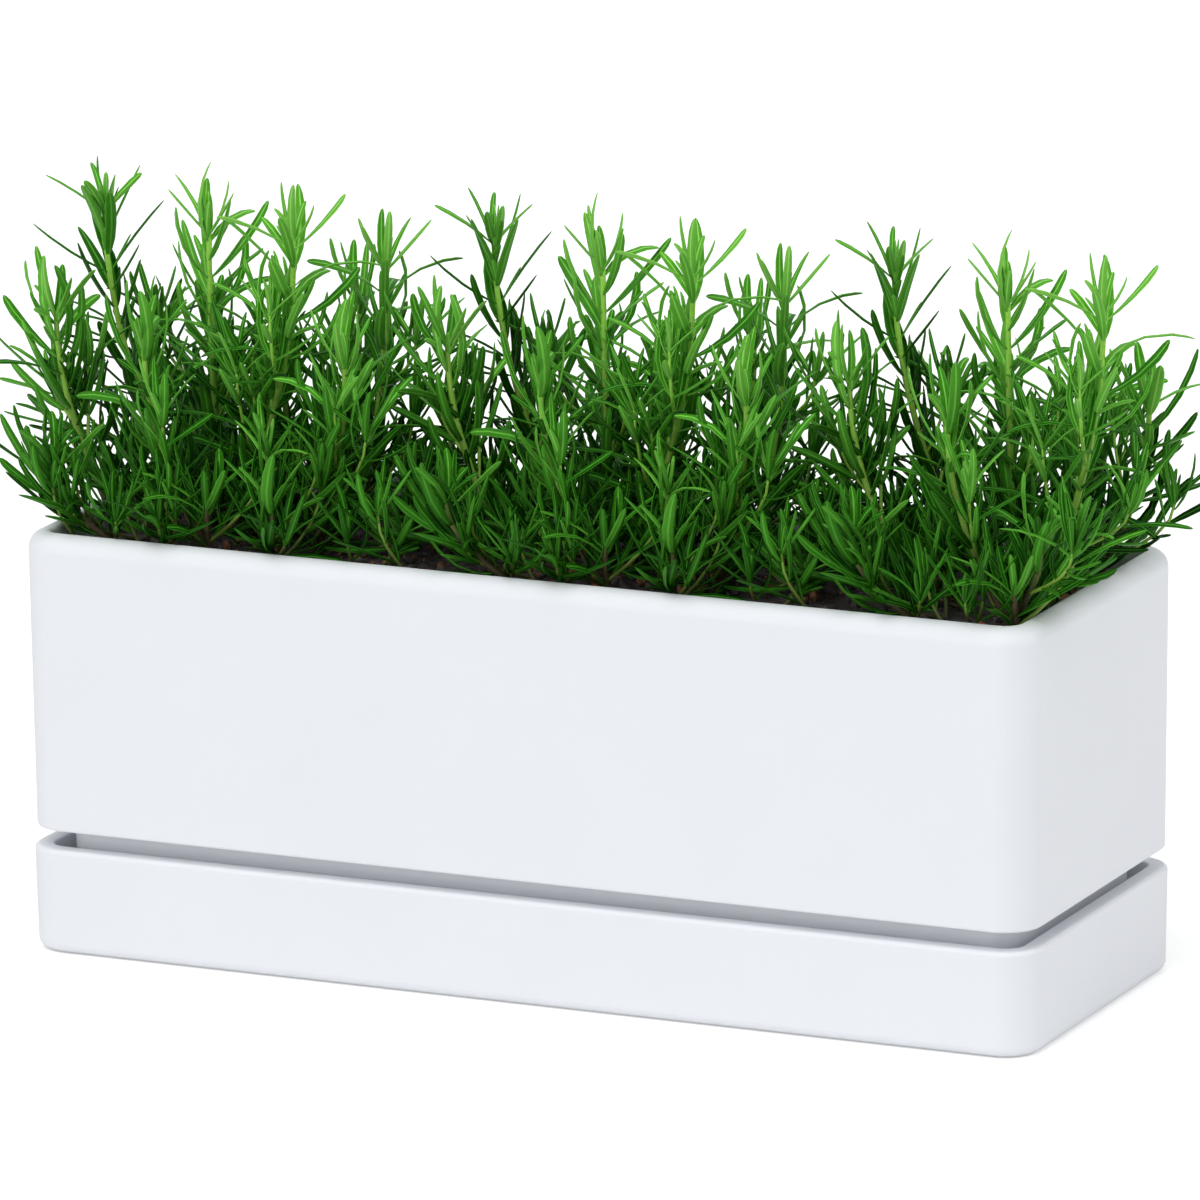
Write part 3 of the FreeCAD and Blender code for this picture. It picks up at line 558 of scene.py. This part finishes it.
# Soil crumbs: loose knobbly lumps of the same peat on the soil, most of them small, and every
# few lumps a chip of orange-brown bark. All are one mesh that lies a little way into the soil.
crumb_count = 1300
crumb_sizes = (0.0010, 0.0034)
crumb_size_power = 3
crumb_widths = (0.5, 0.9)
crumb_heights = (0.4, 0.8)
crumb_knobs = 0.25
crumb_turn = 6.28
crumb_rise = 0.2
crumb_edge_room = 0.006
crumb_seed = 7
bark_every = 5
bark_dark = (0.130, 0.052, 0.024, 1)
bark_light = (0.460, 0.205, 0.090, 1)
bark_roughness = 0.9
bark_mottle = (320, 1.8)
bark_bump = (0.5, 0.0004)


def take_mesh(piece):
    """Corners and faces of a mesh object, which is then removed."""
    corners = np.array([corner.co for corner in piece.data.vertices])
    faces = [tuple(face.vertices) for face in piece.data.polygons]
    bpy.data.objects.remove(piece, do_unlink=True)
    return corners, faces


bark_chips, bark_shader = new_material("potting_bark_chips")
bark_tone = add_mottle(bark_chips, bark_dark, bark_light, *bark_mottle)
bark_chips.node_tree.links.new(bark_tone.outputs["Color"], bark_shader.inputs["Base Color"])
bark_shader.inputs["Roughness"].default_value = bark_roughness
add_bump(bark_chips, bark_tone.outputs["Value"], *bark_bump)

clear_selection()
bpy.ops.mesh.primitive_ico_sphere_add(subdivisions=1, radius=1)
crumb_points, crumb_faces = take_mesh(bpy.context.object)
chance = random.Random(crumb_seed)
points, faces = [], []
for number in range(crumb_count):
    x = chance.uniform(-0.5, 0.5) * (bed_length - crumb_edge_room)
    y = chance.uniform(-0.5, 0.5) * (bed_depth - crumb_edge_room)
    size = chance.random() ** crumb_size_power
    size = crumb_sizes[0] + (crumb_sizes[1] - crumb_sizes[0]) * size
    turn = Matrix.Rotation(chance.uniform(0, crumb_turn), 3, (chance.random(), chance.random(), 1))
    stretch = np.array([size, size * chance.uniform(*crumb_widths),
                        size * chance.uniform(*crumb_heights)])
    knobs = np.array([chance.uniform(-1, 1) for _ in range(len(crumb_points))])
    shaped = crumb_points * (1 + crumb_knobs * knobs)[:, None] * stretch
    points.append(shaped @ np.array(turn) + [x, y, soil_height(x, y) + size * crumb_rise])
    faces.append(np.array(crumb_faces) + number * len(crumb_points))
crumb_mesh = bpy.data.meshes.new("potting_soil_crumbs")
crumb_mesh.from_pydata(np.concatenate(points).tolist(), [], np.concatenate(faces).tolist())
crumbs = bpy.data.objects.new("potting_soil_crumbs", crumb_mesh)
scene.collection.objects.link(crumbs)
crumb_mesh.materials.append(soil_potting)
crumb_mesh.materials.append(bark_chips)
for face in crumb_mesh.polygons:
    number = face.index // len(crumb_faces)
    face.material_index = 1 if number % bark_every == 0 else 0
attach(crumbs, "planter")

# Rosemary: three bushy plants in a row, each a clump of sprigs that lean off their foot and then
# rise. Opposite pairs of narrow leathery leaves turn a right angle from pair to pair, crowded low
# down and upright at the tips. Leaf colour is darker low down and brighter at the tips, partly
# older and fresher growth and partly painted shade low in the clump.

# Stems of one plant: foot along X and Y, tip along X and Y, height. X shares are of the plants'
# spacing, Y shares of the bed's depth and heights of the tallest stem.
common_stems = [
    (-0.170, 0.22, -0.385, 0.27, 0.98),
    (-0.030, 0.10, -0.056, 0.12, 0.97),
    (0.085, -0.10, 0.255, -0.12, 1.04),
    (-0.190, -0.15, -0.390, -0.04, 0.69),
    (0.060, -0.24, -0.080, -0.25, 0.64),
    (-0.100, 0.34, -0.150, 0.40, 0.64),
    (0.130, -0.38, 0.135, -0.41, 0.16),
    (-0.120, -0.36, -0.260, -0.40, 0.26),
]
inner_stems = [
    (0.310, 0.14, 0.385, 0.15, 0.89),
    (0.350, -0.24, 0.430, -0.25, 0.65),
    (0.190, 0.34, 0.220, 0.40, 0.68),
    (0.290, -0.39, 0.310, -0.43, 0.20),
    (0.200, 0.04, 0.165, 0.03, 0.58),
]
end_stems = [
    (0.095, 0.31, 0.225, 0.31, 0.61),
    (0.080, -0.34, 0.190, -0.38, 0.30),
    (0.010, 0.38, 0.060, 0.43, 0.55),
]
plants = [("left", -1, common_stems + inner_stems), ("middle", 0, common_stems + inner_stems),
          ("right", 1, common_stems + end_stems)]
plant_spacing = planter_length * 0.398
plant_offset = planter_length * 0.0148
sprig_seed = 100
stem_height = 0.1085
stem_lean_power = 1.9
stem_radii = (0.0015, 0.0011)
shoot_radii = (0.0008, 0.0005)
stem_buried = 0.008
stem_parts = 12
stem_parts_least = 4
stem_end = 0.003
stem_end_taper = 0.4
way_step = 0.02

# Side shoots start low on a stem, and low shoots come up through the soil round its foot. Leans
# and curls are in degrees, and turns round a stem in radians.
side_shoot_pitch = 0.033
side_shoot_start = 0.06
side_shoot_part = 0.50
side_shoot_reach = 0.040
side_shoot_less = 0.022
side_shoot_lengths = (0.65, 1.1)
side_shoot_leans = (28, 50)
side_shoot_lift = 0.006
low_shoot_count = 6
low_shoot_spread = (0.048, 0.028)
low_shoot_room = (0.009, 0.007)
low_shoot_areas = (0.04, 1.0)
low_shoot_scatter = 0.3
low_shoot_depth = 0.001
low_shoot_leans = (25, 66)
low_shoot_reaches = (0.014, 0.032)
low_shoot_turn = 0.9
low_shoot_tests = (0.3, 0.45, 0.6, 0.75, 0.9, 1.0)

# Leaves: a station is a share of a leaf's length with the share of its full width there. The
# groove and the keel are shares of its half thickness.
leaf_length = 0.0335
leaf_half_width = 0.0020
leaf_half_thickness = 0.00045
leaf_ring = 8
leaf_ring_end = 0.9
leaf_groove = 0.55
leaf_keel = 0.35
leaf_tip_width = 0.05
leaf_stations = [(0.0, 0.40), (0.08, 0.66), (0.24, 0.92), (0.48, 1.0), (0.76, 0.94), (0.91, 0.72),
                 (0.975, 0.40)]
node_spacing = 0.0071
node_start = 0.7
side_spacing = 0.0090
side_leaves = {"scale": 0.88, "tufts": 0.3, "slim": 0.75}
low_leaves = {"scale": 0.86, "tufts": 0.2, "slim": 0.62}
leaf_turn = 0.3
leaf_foot = 0.7
fresh_reach = 0.02
young_length = 0.84
young_reach = 0.05
leaf_lean = 38
leaf_lean_more = 22
leaf_lean_reach = 0.04
leaf_lean_scatter = 14
leaf_curls = (-80, -10)
tip_curls = (-65, 5)
tip_curl_reach = 0.018
odd_curls = (0, 0, 0, 70)
leaf_lengths = (0.85, 1.15)
leaf_widths = (0.8, 1.2)
leaf_sway = 0.18
leaf_roll = 0.9
straight_curl = 0.001

# Small leaves beside the pairs, and the tuft at a shoot's end, where every third stands upright.
small_turns = (0.5, 1.1)
small_sizes = (0.35, 0.7)
small_leans = (0.5, 0.95)
small_curl = 25
small_width = (0.4, 0.5)
end_leaf_count = 6
end_upright_every = 3
end_upright = {"leans": (6, 16), "lengths": (0.35, 0.5)}
end_open = {"leans": (24, 48), "lengths": (0.62, 0.9)}
end_curls = (-35, 40)
end_widths = (0.6, 0.95)

# Sprigs that differ: one is a dark bundle of folded and loose leaves, whose factors are for lean,
# curl, width and length, and three are brighter.
bundled_sprig = 1
bundled_share = 0.65
bundled_factors = (0.48, 0.3, 1.2, 0.8)
loose_factors = (1.1, 0.4, 0.35, 1)
sprig_ages = {bundled_sprig: -0.28, 7: 0.12, 8: 0.12, 12: 0.12}

# Room that a leaf keeps over the soil and the rim and past the front and the back, and how one
# that lacks it is raised and shortened.
leaf_room = 0.0015
overhang_rise = 0.50
overhang_limit = 0.013
bend_tries = 5
bend_raise = 0.7
bend_shorten = 0.88
spine_stride = 4

# Colours by age and painted shade, from 0 low down to 1 at the tips, where the dark low end is
# partly older leaves and partly painted shade deep in the clump: stops are a place and a colour,
# and bands are where they start, where they are full and how much of the pale colour they bring.
age_and_shade_by_level = 0.70
age_when_fresh = (0.05, 0.30)
age_scatter = 0.2
age_less = 0.04
stem_age = 0.1
shoot_age = 0.25
# The near-black low end of the blade colours is partly older leaves and partly painted shade deep
# in the clump.
leaf_blade_age_and_shade_colours = ((0.0, (0.002, 0.027, 0.0004, 1)), (0.30, (0.009, 0.108, 0.001, 1)),
                      (0.60, (0.042, 0.275, 0.006, 1)), (1.0, (0.118, 0.470, 0.022, 1)))
# Pale colours that the bands bring; along the midrib and the edges they are a painted highlight
# line, partly a paler midrib and rim.
leaf_pale_and_highlight_colours = ((0.0, (0.036, 0.190, 0.012, 1)), (0.30, (0.110, 0.430, 0.036, 1)),
                     (0.60, (0.260, 0.690, 0.105, 1)), (1.0, (0.420, 0.840, 0.200, 1)))
stem_colours = ((0.0, (0.022, 0.012, 0.006, 1)), (0.24, (0.075, 0.060, 0.018, 1)),
                (0.42, (0.22, 0.42, 0.04, 1)), (1.0, (0.38, 0.82, 0.09, 1)))
pure_black = (0, 0, 0, 1)
tone_band = (0.4, 1.0, 0.22)
cloud_band = (0.45, 1.0, 0.18)
# The midrib and edge bands paint pale highlight lines along each leaf, partly its own paler midrib
# and rim.
midrib_pale_and_highlight_band = (0.11, 0.01, 0.75)
edge_pale_and_highlight_band = (0.38, 0.47, 0.95)
under_band = (0.5, 0.9, 0.30)
foot_band = (0.14, 0.0, 0.7)
leaf_mottle = (420, 1.5)
leaf_roughness = (0.34, 0.52)
leaf_specular = 0.08
leaf_bump = (0.35, 0.0006)
stem_mottle = (700, 2.0)
stem_flecks = (0.16, 0.15, 0.07, 1)
stem_fleck_shares = (0.0, 0.18)
stem_roughness = 0.6
stem_bump = (0.4, 0.0004)


def model_leaf():
    """One straight leaf along X: a ring extruded station by station, grooved above, keeled below.

    Gives its corners, its faces, and for each corner its place across, along and underneath.
    """
    clear_selection()
    bpy.ops.mesh.primitive_circle_add(vertices=leaf_ring, radius=1, rotation=(0, math.pi / 2, 0))
    leaf = bpy.context.object
    bpy.ops.object.transform_apply(location=True, rotation=True, scale=True)
    edit_piece(leaf, "VERT", lambda v: v.co.z > leaf_ring_end)
    bpy.ops.transform.translate(value=(0, 0, -leaf_groove))
    edit_piece(leaf, "VERT", lambda v: v.co.z < -leaf_ring_end)
    bpy.ops.transform.translate(value=(0, 0, -leaf_keel))
    edit_piece(leaf, "EDGE", lambda e: True)
    width = leaf_stations[0][1]
    bpy.ops.transform.resize(value=(1, width, width), center_override=(0, 0, 0))
    place = 0.0
    for next_place, next_width in leaf_stations[1:]:
        step = {"value": (next_place - place, 0, 0)}
        bpy.ops.mesh.extrude_region_move(TRANSFORM_OT_translate=step)
        share = next_width / width
        bpy.ops.transform.resize(value=(1, share, share), center_override=(0, 0, 0))
        place, width = next_place, next_width
    bpy.ops.mesh.extrude_region_move(TRANSFORM_OT_translate={"value": (1 - place, 0, 0)})
    bpy.ops.mesh.merge(type="CENTER")
    edit_piece(leaf, "EDGE", lambda e: all(v.co.x < place_tolerance for v in e.verts))
    bpy.ops.mesh.edge_face_add()
    bpy.ops.mesh.select_all(action="SELECT")
    bpy.ops.mesh.normals_make_consistent(inside=False)
    leave_edit()
    corners, faces = take_mesh(leaf)
    widths = np.interp(corners[:, 0], [place for place, _ in leaf_stations] + [1.0],
                       [width for _, width in leaf_stations] + [leaf_tip_width])
    across = corners[:, 1] / widths / 2 + 0.5
    under = 0.5 - 0.5 * np.sign(np.round(corners[:, 2] / widths, 2))
    return corners, faces, np.stack([across, corners[:, 0], under], axis=1)


class Shoot:
    """Line of a stem or of a side shoot: it leans off its foot first and then rises straighter."""

    def __init__(self, foot, tip, radii):
        self.foot = np.array(foot)
        self.reach = np.array(tip) - self.foot
        self.length = float(np.linalg.norm(self.reach))
        self.radii = radii

    def point(self, share):
        """Place at a share of the way from foot to tip."""
        lean = 1 - (1 - min(share, 1.0)) ** stem_lean_power
        return self.foot + self.reach * np.array([lean, lean, share])

    def direction(self, share):
        """Unit vector along the shoot at a share of the way."""
        start = min(share, 1 - way_step)
        way = self.point(start + way_step) - self.point(start)
        return way / np.linalg.norm(way)

    def radius(self, share):
        """Radius at a share of the way."""
        return self.radii[0] + (self.radii[1] - self.radii[0]) * share

    def around(self, share, angle):
        """Direction straight out of the shoot at an angle round it."""
        axis = self.direction(share)
        first = np.cross(axis, [0, 1, 0])
        first /= np.linalg.norm(first)
        return first * math.cos(angle) + np.cross(axis, first) * math.sin(angle)


def clears_pot(spine):
    """True if a leaf's spine stays over the soil in the pot, and well over the rim beyond it."""
    for x, y, z in spine:
        beyond = max(abs(x) - cavity_length / 2, abs(y) - cavity_depth / 2) + leaf_half_width
        ground = soil_height(x, y) if beyond < 0 else planter_height + beyond * overhang_rise
        if z < ground + leaf_room or abs(y) > planter_depth / 2 + overhang_limit:
            return False
    return True


def bend_leaf(shape, base, axis, out, lean, curl, length, width, sway, roll):
    """Corners of a leaf bent along an arc, and its spine. Lean and curl are angles off the stem."""
    t = shape[:, 0]
    angle = lean + curl * t
    steady = abs(curl) < straight_curl
    along_out = np.sin(lean) * t if steady else (np.cos(lean) - np.cos(angle)) / curl
    along_axis = np.cos(lean) * t if steady else (np.sin(angle) - np.sin(lean)) / curl
    side = np.cross(axis, out)
    spine = base + length * (np.outer(along_out, out) + np.outer(along_axis, axis)
                             + np.outer(sway * t ** 2, side))
    upper = np.outer(np.sin(angle), axis) - np.outer(np.cos(angle), out)
    turned_side = np.cos(roll * t)[:, None] * side + np.sin(roll * t)[:, None] * upper
    turned_upper = np.cos(roll * t)[:, None] * upper - np.sin(roll * t)[:, None] * side
    flat = turned_side * (shape[:, 1] * width)[:, None]
    thick = turned_upper * (shape[:, 2] * leaf_half_thickness)[:, None]
    return spine + flat + thick, spine


leaf_shape, leaf_faces, leaf_map = model_leaf()


def scatter(chance, size):
    """Random amount from minus a size to plus that size."""
    return chance.uniform(-size, size)


def plan_leaves(shoot, spacing, chance, scale=1.0, tufts=0.5, slim=1.0, bundled=False):
    """Leaves along one shoot, as the values that bend_leaf takes and how fresh each one is."""
    leaves = []
    nodes = max(2, round(shoot.length / spacing))
    turn = chance.uniform(0, math.pi)
    for node in range(nodes):
        share = (node + node_start) / nodes
        axis = shoot.direction(share)
        turn += math.pi / 2 + scatter(chance, leaf_turn)
        to_tip = (1 - share) * shoot.length
        fresh = math.exp(-to_tip / fresh_reach)
        young = min(1.0, young_length + to_tip / young_reach)
        for pair in (0, math.pi):
            angle = turn + pair + scatter(chance, leaf_turn)
            out = shoot.around(share, angle)
            base = shoot.point(share) + out * shoot.radius(share) * leaf_foot
            lean = leaf_lean + leaf_lean_more * min(1.0, to_tip / leaf_lean_reach)
            lean = math.radians(lean + scatter(chance, leaf_lean_scatter))
            curl = chance.uniform(*(leaf_curls if to_tip > tip_curl_reach else tip_curls))
            curl = math.radians(curl + chance.choice(odd_curls))
            length = leaf_length * scale * young * chance.uniform(*leaf_lengths)
            width = leaf_half_width * slim * chance.uniform(*leaf_widths)
            if bundled:
                folded = chance.random() < bundled_share
                factors = bundled_factors if folded else loose_factors
                lean, curl = lean * factors[0], curl * factors[1]
                width, length = width * factors[2], length * factors[3]
            leaves.append((base, axis, out, lean, curl, length, width, fresh))
            if chance.random() < tufts:
                off = angle + chance.choice((-1, 1)) * chance.uniform(*small_turns)
                small = chance.uniform(*small_sizes)
                leaves.append((base, axis, shoot.around(share, off),
                               lean * chance.uniform(*small_leans),
                               math.radians(scatter(chance, small_curl)), length * small,
                               width * (small_width[0] + small_width[1] * small), fresh))
    for number in range(end_leaf_count):
        kind = end_upright if number % end_upright_every == 0 else end_open
        angle = turn + (number + 0.5) * 2 * math.pi / end_leaf_count + scatter(chance, leaf_turn)
        out = shoot.around(1, angle)
        lean = math.radians(chance.uniform(*kind["leans"]))
        length = leaf_length * scale * chance.uniform(*kind["lengths"])
        leaves.append((shoot.point(1.0), shoot.direction(1), out, lean,
                       math.radians(chance.uniform(*end_curls)), length,
                       leaf_half_width * slim * chance.uniform(*end_widths), 1.0))
    return leaves


def plan_side_shoots(stem, chance):
    """Side shoots in the lower part of a stem, long ones low down and short ones further up."""
    shoots = []
    for number in range(round(stem.length / side_shoot_pitch)):
        along = side_shoot_part * (number + chance.random()) * side_shoot_pitch / stem.length
        share = side_shoot_start + along
        out = stem.around(share, chance.uniform(0, 2 * math.pi))
        reach = side_shoot_reach - side_shoot_less * share
        reach *= chance.uniform(*side_shoot_lengths)
        lean = math.radians(chance.uniform(*side_shoot_leans))
        way = stem.direction(share) * math.cos(lean) + out * math.sin(lean)
        foot = stem.point(share)
        tip = foot + way * reach + np.array([0, 0, side_shoot_lift])
        if clears_pot([tip, (foot + tip) / 2]):
            shoots.append(Shoot(foot, tip, shoot_radii))
    return shoots


def plan_low_shoots(stem, chance):
    """Short leafy shoots that come up through the soil round a stem's foot and hide the soil."""
    shoots = []
    far_x, far_y = cavity_length / 2 - low_shoot_room[0], cavity_depth / 2 - low_shoot_room[1]
    for number in range(low_shoot_count):
        step = number + scatter(chance, low_shoot_scatter)
        angle = 2 * math.pi * step / low_shoot_count
        away = math.sqrt(chance.uniform(*low_shoot_areas))
        way = np.array([math.cos(angle), math.sin(angle)])
        x, y = stem.foot[:2] + way * np.array(low_shoot_spread) * away
        x, y = max(-1, min(1, x / far_x)) * far_x, max(-1, min(1, y / far_y)) * far_y
        foot = np.array([x, y, soil_height(x, y) - low_shoot_depth])
        lean = math.radians(chance.uniform(*low_shoot_leans))
        reach = chance.uniform(*low_shoot_reaches)
        turned = angle + scatter(chance, low_shoot_turn)
        sideways = np.array([math.cos(turned), math.sin(turned), 0]) * math.sin(lean)
        tip = foot + reach * (sideways + np.array([0, 0, math.cos(lean)]))
        shoot = Shoot(foot, tip, shoot_radii)
        if clears_pot([shoot.point(share) for share in low_shoot_tests]):
            shoots.append(shoot)
    return shoots


def model_stem(shoot, buried):
    """Tapering stem: a curve through the shoot's line, given a round section, made a mesh."""
    line = bpy.data.curves.new("stem_line", "CURVE")
    line.dimensions = "3D"
    line.bevel_depth = 1.0
    line.bevel_resolution = 1
    line.use_fill_caps = True
    spline = line.splines.new("POLY")
    parts = max(stem_parts_least, round(stem_parts * shoot.length / stem_height))
    places = [(shoot.foot - np.array([0, 0, buried]), shoot.radius(0))] if buried else []
    places += [(shoot.point(part / parts), shoot.radius(part / parts))
               for part in range(parts + 1)]
    places.append((shoot.point(1) + shoot.direction(1) * stem_end,
                   shoot.radius(1) * stem_end_taper))
    spline.points.add(len(places) - 1)
    for point, (place, radius) in zip(spline.points, places):
        point.co = (*place, 1)
        point.radius = radius
    piece = bpy.data.objects.new("stem_line", line)
    scene.collection.objects.link(piece)
    activate(piece)
    bpy.ops.object.convert(target="MESH")
    return take_mesh(bpy.context.object)


def colour_ramp(material, value, stops):
    """Colour that follows a 0 to 1 value through stops of place and colour."""
    ramp = material.node_tree.nodes.new("ShaderNodeValToRGB")
    material.node_tree.links.new(value, ramp.inputs["Fac"])
    while len(ramp.color_ramp.elements) < len(stops):
        ramp.color_ramp.elements.new(0.5)
    for element, (place, colour) in zip(ramp.color_ramp.elements, stops):
        element.position = place
        element.color = colour
    return ramp.outputs["Color"]


def attribute_parts(material, name):
    """Red, green and blue part of a colour attribute of the mesh."""
    nodes, links = material.node_tree.nodes, material.node_tree.links
    read = nodes.new("ShaderNodeAttribute")
    read.attribute_name = name
    split = nodes.new("ShaderNodeSeparateColor")
    links.new(read.outputs["Color"], split.inputs["Color"])
    return split.outputs


def leaf_material():
    """Leaf: colour by age and tone, darker low down partly as painted shade, paler midrib and edges
    partly as a painted highlight, paler underside, soft gloss.
    """
    material, shader = new_material("rosemary_leaf")
    nodes, links = material.node_tree.nodes, material.node_tree.links

    def blend(value, low, high, strength, first, second):
        """Go from the first colour towards the second, as far as the value is in a band."""
        spread = nodes.new("ShaderNodeMapRange")
        spread.interpolation_type = "SMOOTHSTEP"
        spread.inputs["From Min"].default_value = low
        spread.inputs["From Max"].default_value = high
        spread.inputs["To Max"].default_value = strength
        links.new(value, spread.inputs["Value"])
        mix = nodes.new("ShaderNodeMix")
        mix.data_type = "RGBA"
        links.new(spread.outputs["Result"], mix.inputs["Factor"])
        links.new(first, mix.inputs["A"])
        links.new(second, mix.inputs["B"])
        return mix.outputs["Result"]

    across_leaf, along_leaf, under_leaf = attribute_parts(material, "leaf_map")[:3]
    # The age value also darkens leaves low in the clump as painted shade.
    age, tone = attribute_parts(material, "leaf_tint")[:2]
    pale_and_highlight = colour_ramp(material, age, leaf_pale_and_highlight_colours)
    mottle = add_mottle(material, pure_black, pure_white, *leaf_mottle)
    middle = nodes.new("ShaderNodeMath")
    middle.operation = "PINGPONG"
    middle.inputs[1].default_value = 0.5
    links.new(across_leaf, middle.inputs[0])
    colour = colour_ramp(material, age, leaf_blade_age_and_shade_colours)
    # The midrib and edge bands below paint a pale highlight line, partly the leaf's own paler
    # midrib and rim.
    for value, band in ((tone, tone_band), (mottle.outputs["Value"], cloud_band),
                        (middle.outputs[0], midrib_pale_and_highlight_band), (middle.outputs[0], edge_pale_and_highlight_band),
                        (under_leaf, under_band), (along_leaf, foot_band)):
        colour = blend(value, *band, colour, pale_and_highlight)
    links.new(colour, shader.inputs["Base Color"])
    links.new(spread_value(material, mottle.outputs["Value"], *leaf_roughness),
              shader.inputs["Roughness"])
    shader.inputs["Specular IOR Level"].default_value = leaf_specular
    add_bump(material, middle.outputs[0], *leaf_bump)
    return material


def stem_material():
    """Stem: brown bark at the foot, olive further up and fresh yellow-green at the tip."""
    material, shader = new_material("rosemary_stem")
    nodes, links = material.node_tree.nodes, material.node_tree.links
    age = attribute_parts(material, "leaf_tint")["Red"]
    bark = add_mottle(material, pure_black, pure_white, *stem_mottle)
    mix = nodes.new("ShaderNodeMix")
    mix.data_type = "RGBA"
    mix.inputs["B"].default_value = stem_flecks
    links.new(spread_value(material, bark.outputs["Value"], *stem_fleck_shares),
              mix.inputs["Factor"])
    links.new(colour_ramp(material, age, stem_colours), mix.inputs["A"])
    links.new(mix.outputs["Result"], shader.inputs["Base Color"])
    shader.inputs["Roughness"].default_value = stem_roughness
    add_bump(material, bark.outputs["Value"], *stem_bump)
    return material


rosemary_leaf, rosemary_stem = leaf_material(), stem_material()

for side, step, stem_shares in plants:
    plant_middle = plant_offset + step * plant_spacing
    for index, (foot_x, foot_y, tip_x, tip_y, height) in enumerate(stem_shares, start=1):
        name = f"rosemary_{side}_sprig_{index:02d}"
        x = plant_middle + foot_x * plant_spacing
        y = foot_y * cavity_depth
        z = soil_height(x, y)
        rise = height * stem_height
        stem = Shoot((x, y, z), (plant_middle + tip_x * plant_spacing, tip_y * cavity_depth,
                                 z + rise), stem_radii)
        chance = random.Random(sprig_seed + index)
        side_shoots, low_shoots = plan_side_shoots(stem, chance), plan_low_shoots(stem, chance)
        corners, faces, tints, maps = [], [], [], []
        total = 0
        for shoot in [stem] + side_shoots + low_shoots:
            stem_corners, stem_faces = model_stem(shoot, stem_buried if shoot is stem else 0)
            ages = (stem_corners[:, 2] - z) / stem_height
            ages = np.clip(ages + (stem_age if shoot is stem else shoot_age), 0, 1)
            corners.append(stem_corners)
            faces += [tuple(total + corner for corner in face) for face in stem_faces]
            tints.append(np.stack([ages, ages * 0, ages * 0], axis=1))
            maps.append(np.zeros((len(stem_corners), 3)))
            total += len(stem_corners)
        stem_face_count = len(faces)
        leaves = plan_leaves(stem, node_spacing, chance, bundled=index == bundled_sprig)
        for shoot in side_shoots:
            leaves += plan_leaves(shoot, side_spacing, chance, **side_leaves)
        for shoot in low_shoots:
            leaves += plan_leaves(shoot, side_spacing, chance, **low_leaves)
        sprig_age = sprig_ages.get(index, 0.0)
        for base, axis, out, lean, curl, length, width, fresh in leaves:
            sway, roll = scatter(chance, leaf_sway), scatter(chance, leaf_roll)
            age_noise, tone = scatter(chance, age_scatter), chance.random()
            for _ in range(bend_tries):
                bent, spine = bend_leaf(leaf_shape, base, axis, out, lean, curl, length, width,
                                        sway, roll)
                if clears_pot(spine[::spine_stride]):
                    break
                lean, length = lean * bend_raise, length * bend_shorten
            else:
                continue
            # Height in the clump darkens a leaf: partly older growth low down, partly painted
            # shade.
            level = (base[2] - z) / stem_height
            fresh_age = fresh * (age_when_fresh[0] + age_when_fresh[1] * level)
            age_and_shade = age_and_shade_by_level * level + fresh_age + age_noise + sprig_age - age_less
            age_and_shade = min(1.0, max(0.0, age_and_shade))
            corners.append(bent)
            faces += [tuple(total + corner for corner in face) for face in leaf_faces]
            tints.append(np.tile([age_and_shade, tone, 0], (len(leaf_shape), 1)))
            maps.append(leaf_map)
            total += len(leaf_shape)
        mesh = bpy.data.meshes.new(name + "_plant")
        mesh.from_pydata(np.concatenate(corners).tolist(), [], faces)
        for layer, values in (("leaf_tint", tints), ("leaf_map", maps)):
            store = mesh.attributes.new(layer, "FLOAT_COLOR", "POINT")
            flat = np.ones((total, 4))
            flat[:, :3] = np.concatenate(values)
            store.data.foreach_set("color", flat.ravel())
        mesh.materials.append(rosemary_leaf)
        mesh.materials.append(rosemary_stem)
        for face in mesh.polygons:
            face.use_smooth = True
            face.material_index = 1 if face.index < stem_face_count else 0
        sprig = bpy.data.objects.new(name + "_plant", mesh)
        scene.collection.objects.link(sprig)
        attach(sprig, "planter")
        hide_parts(name)
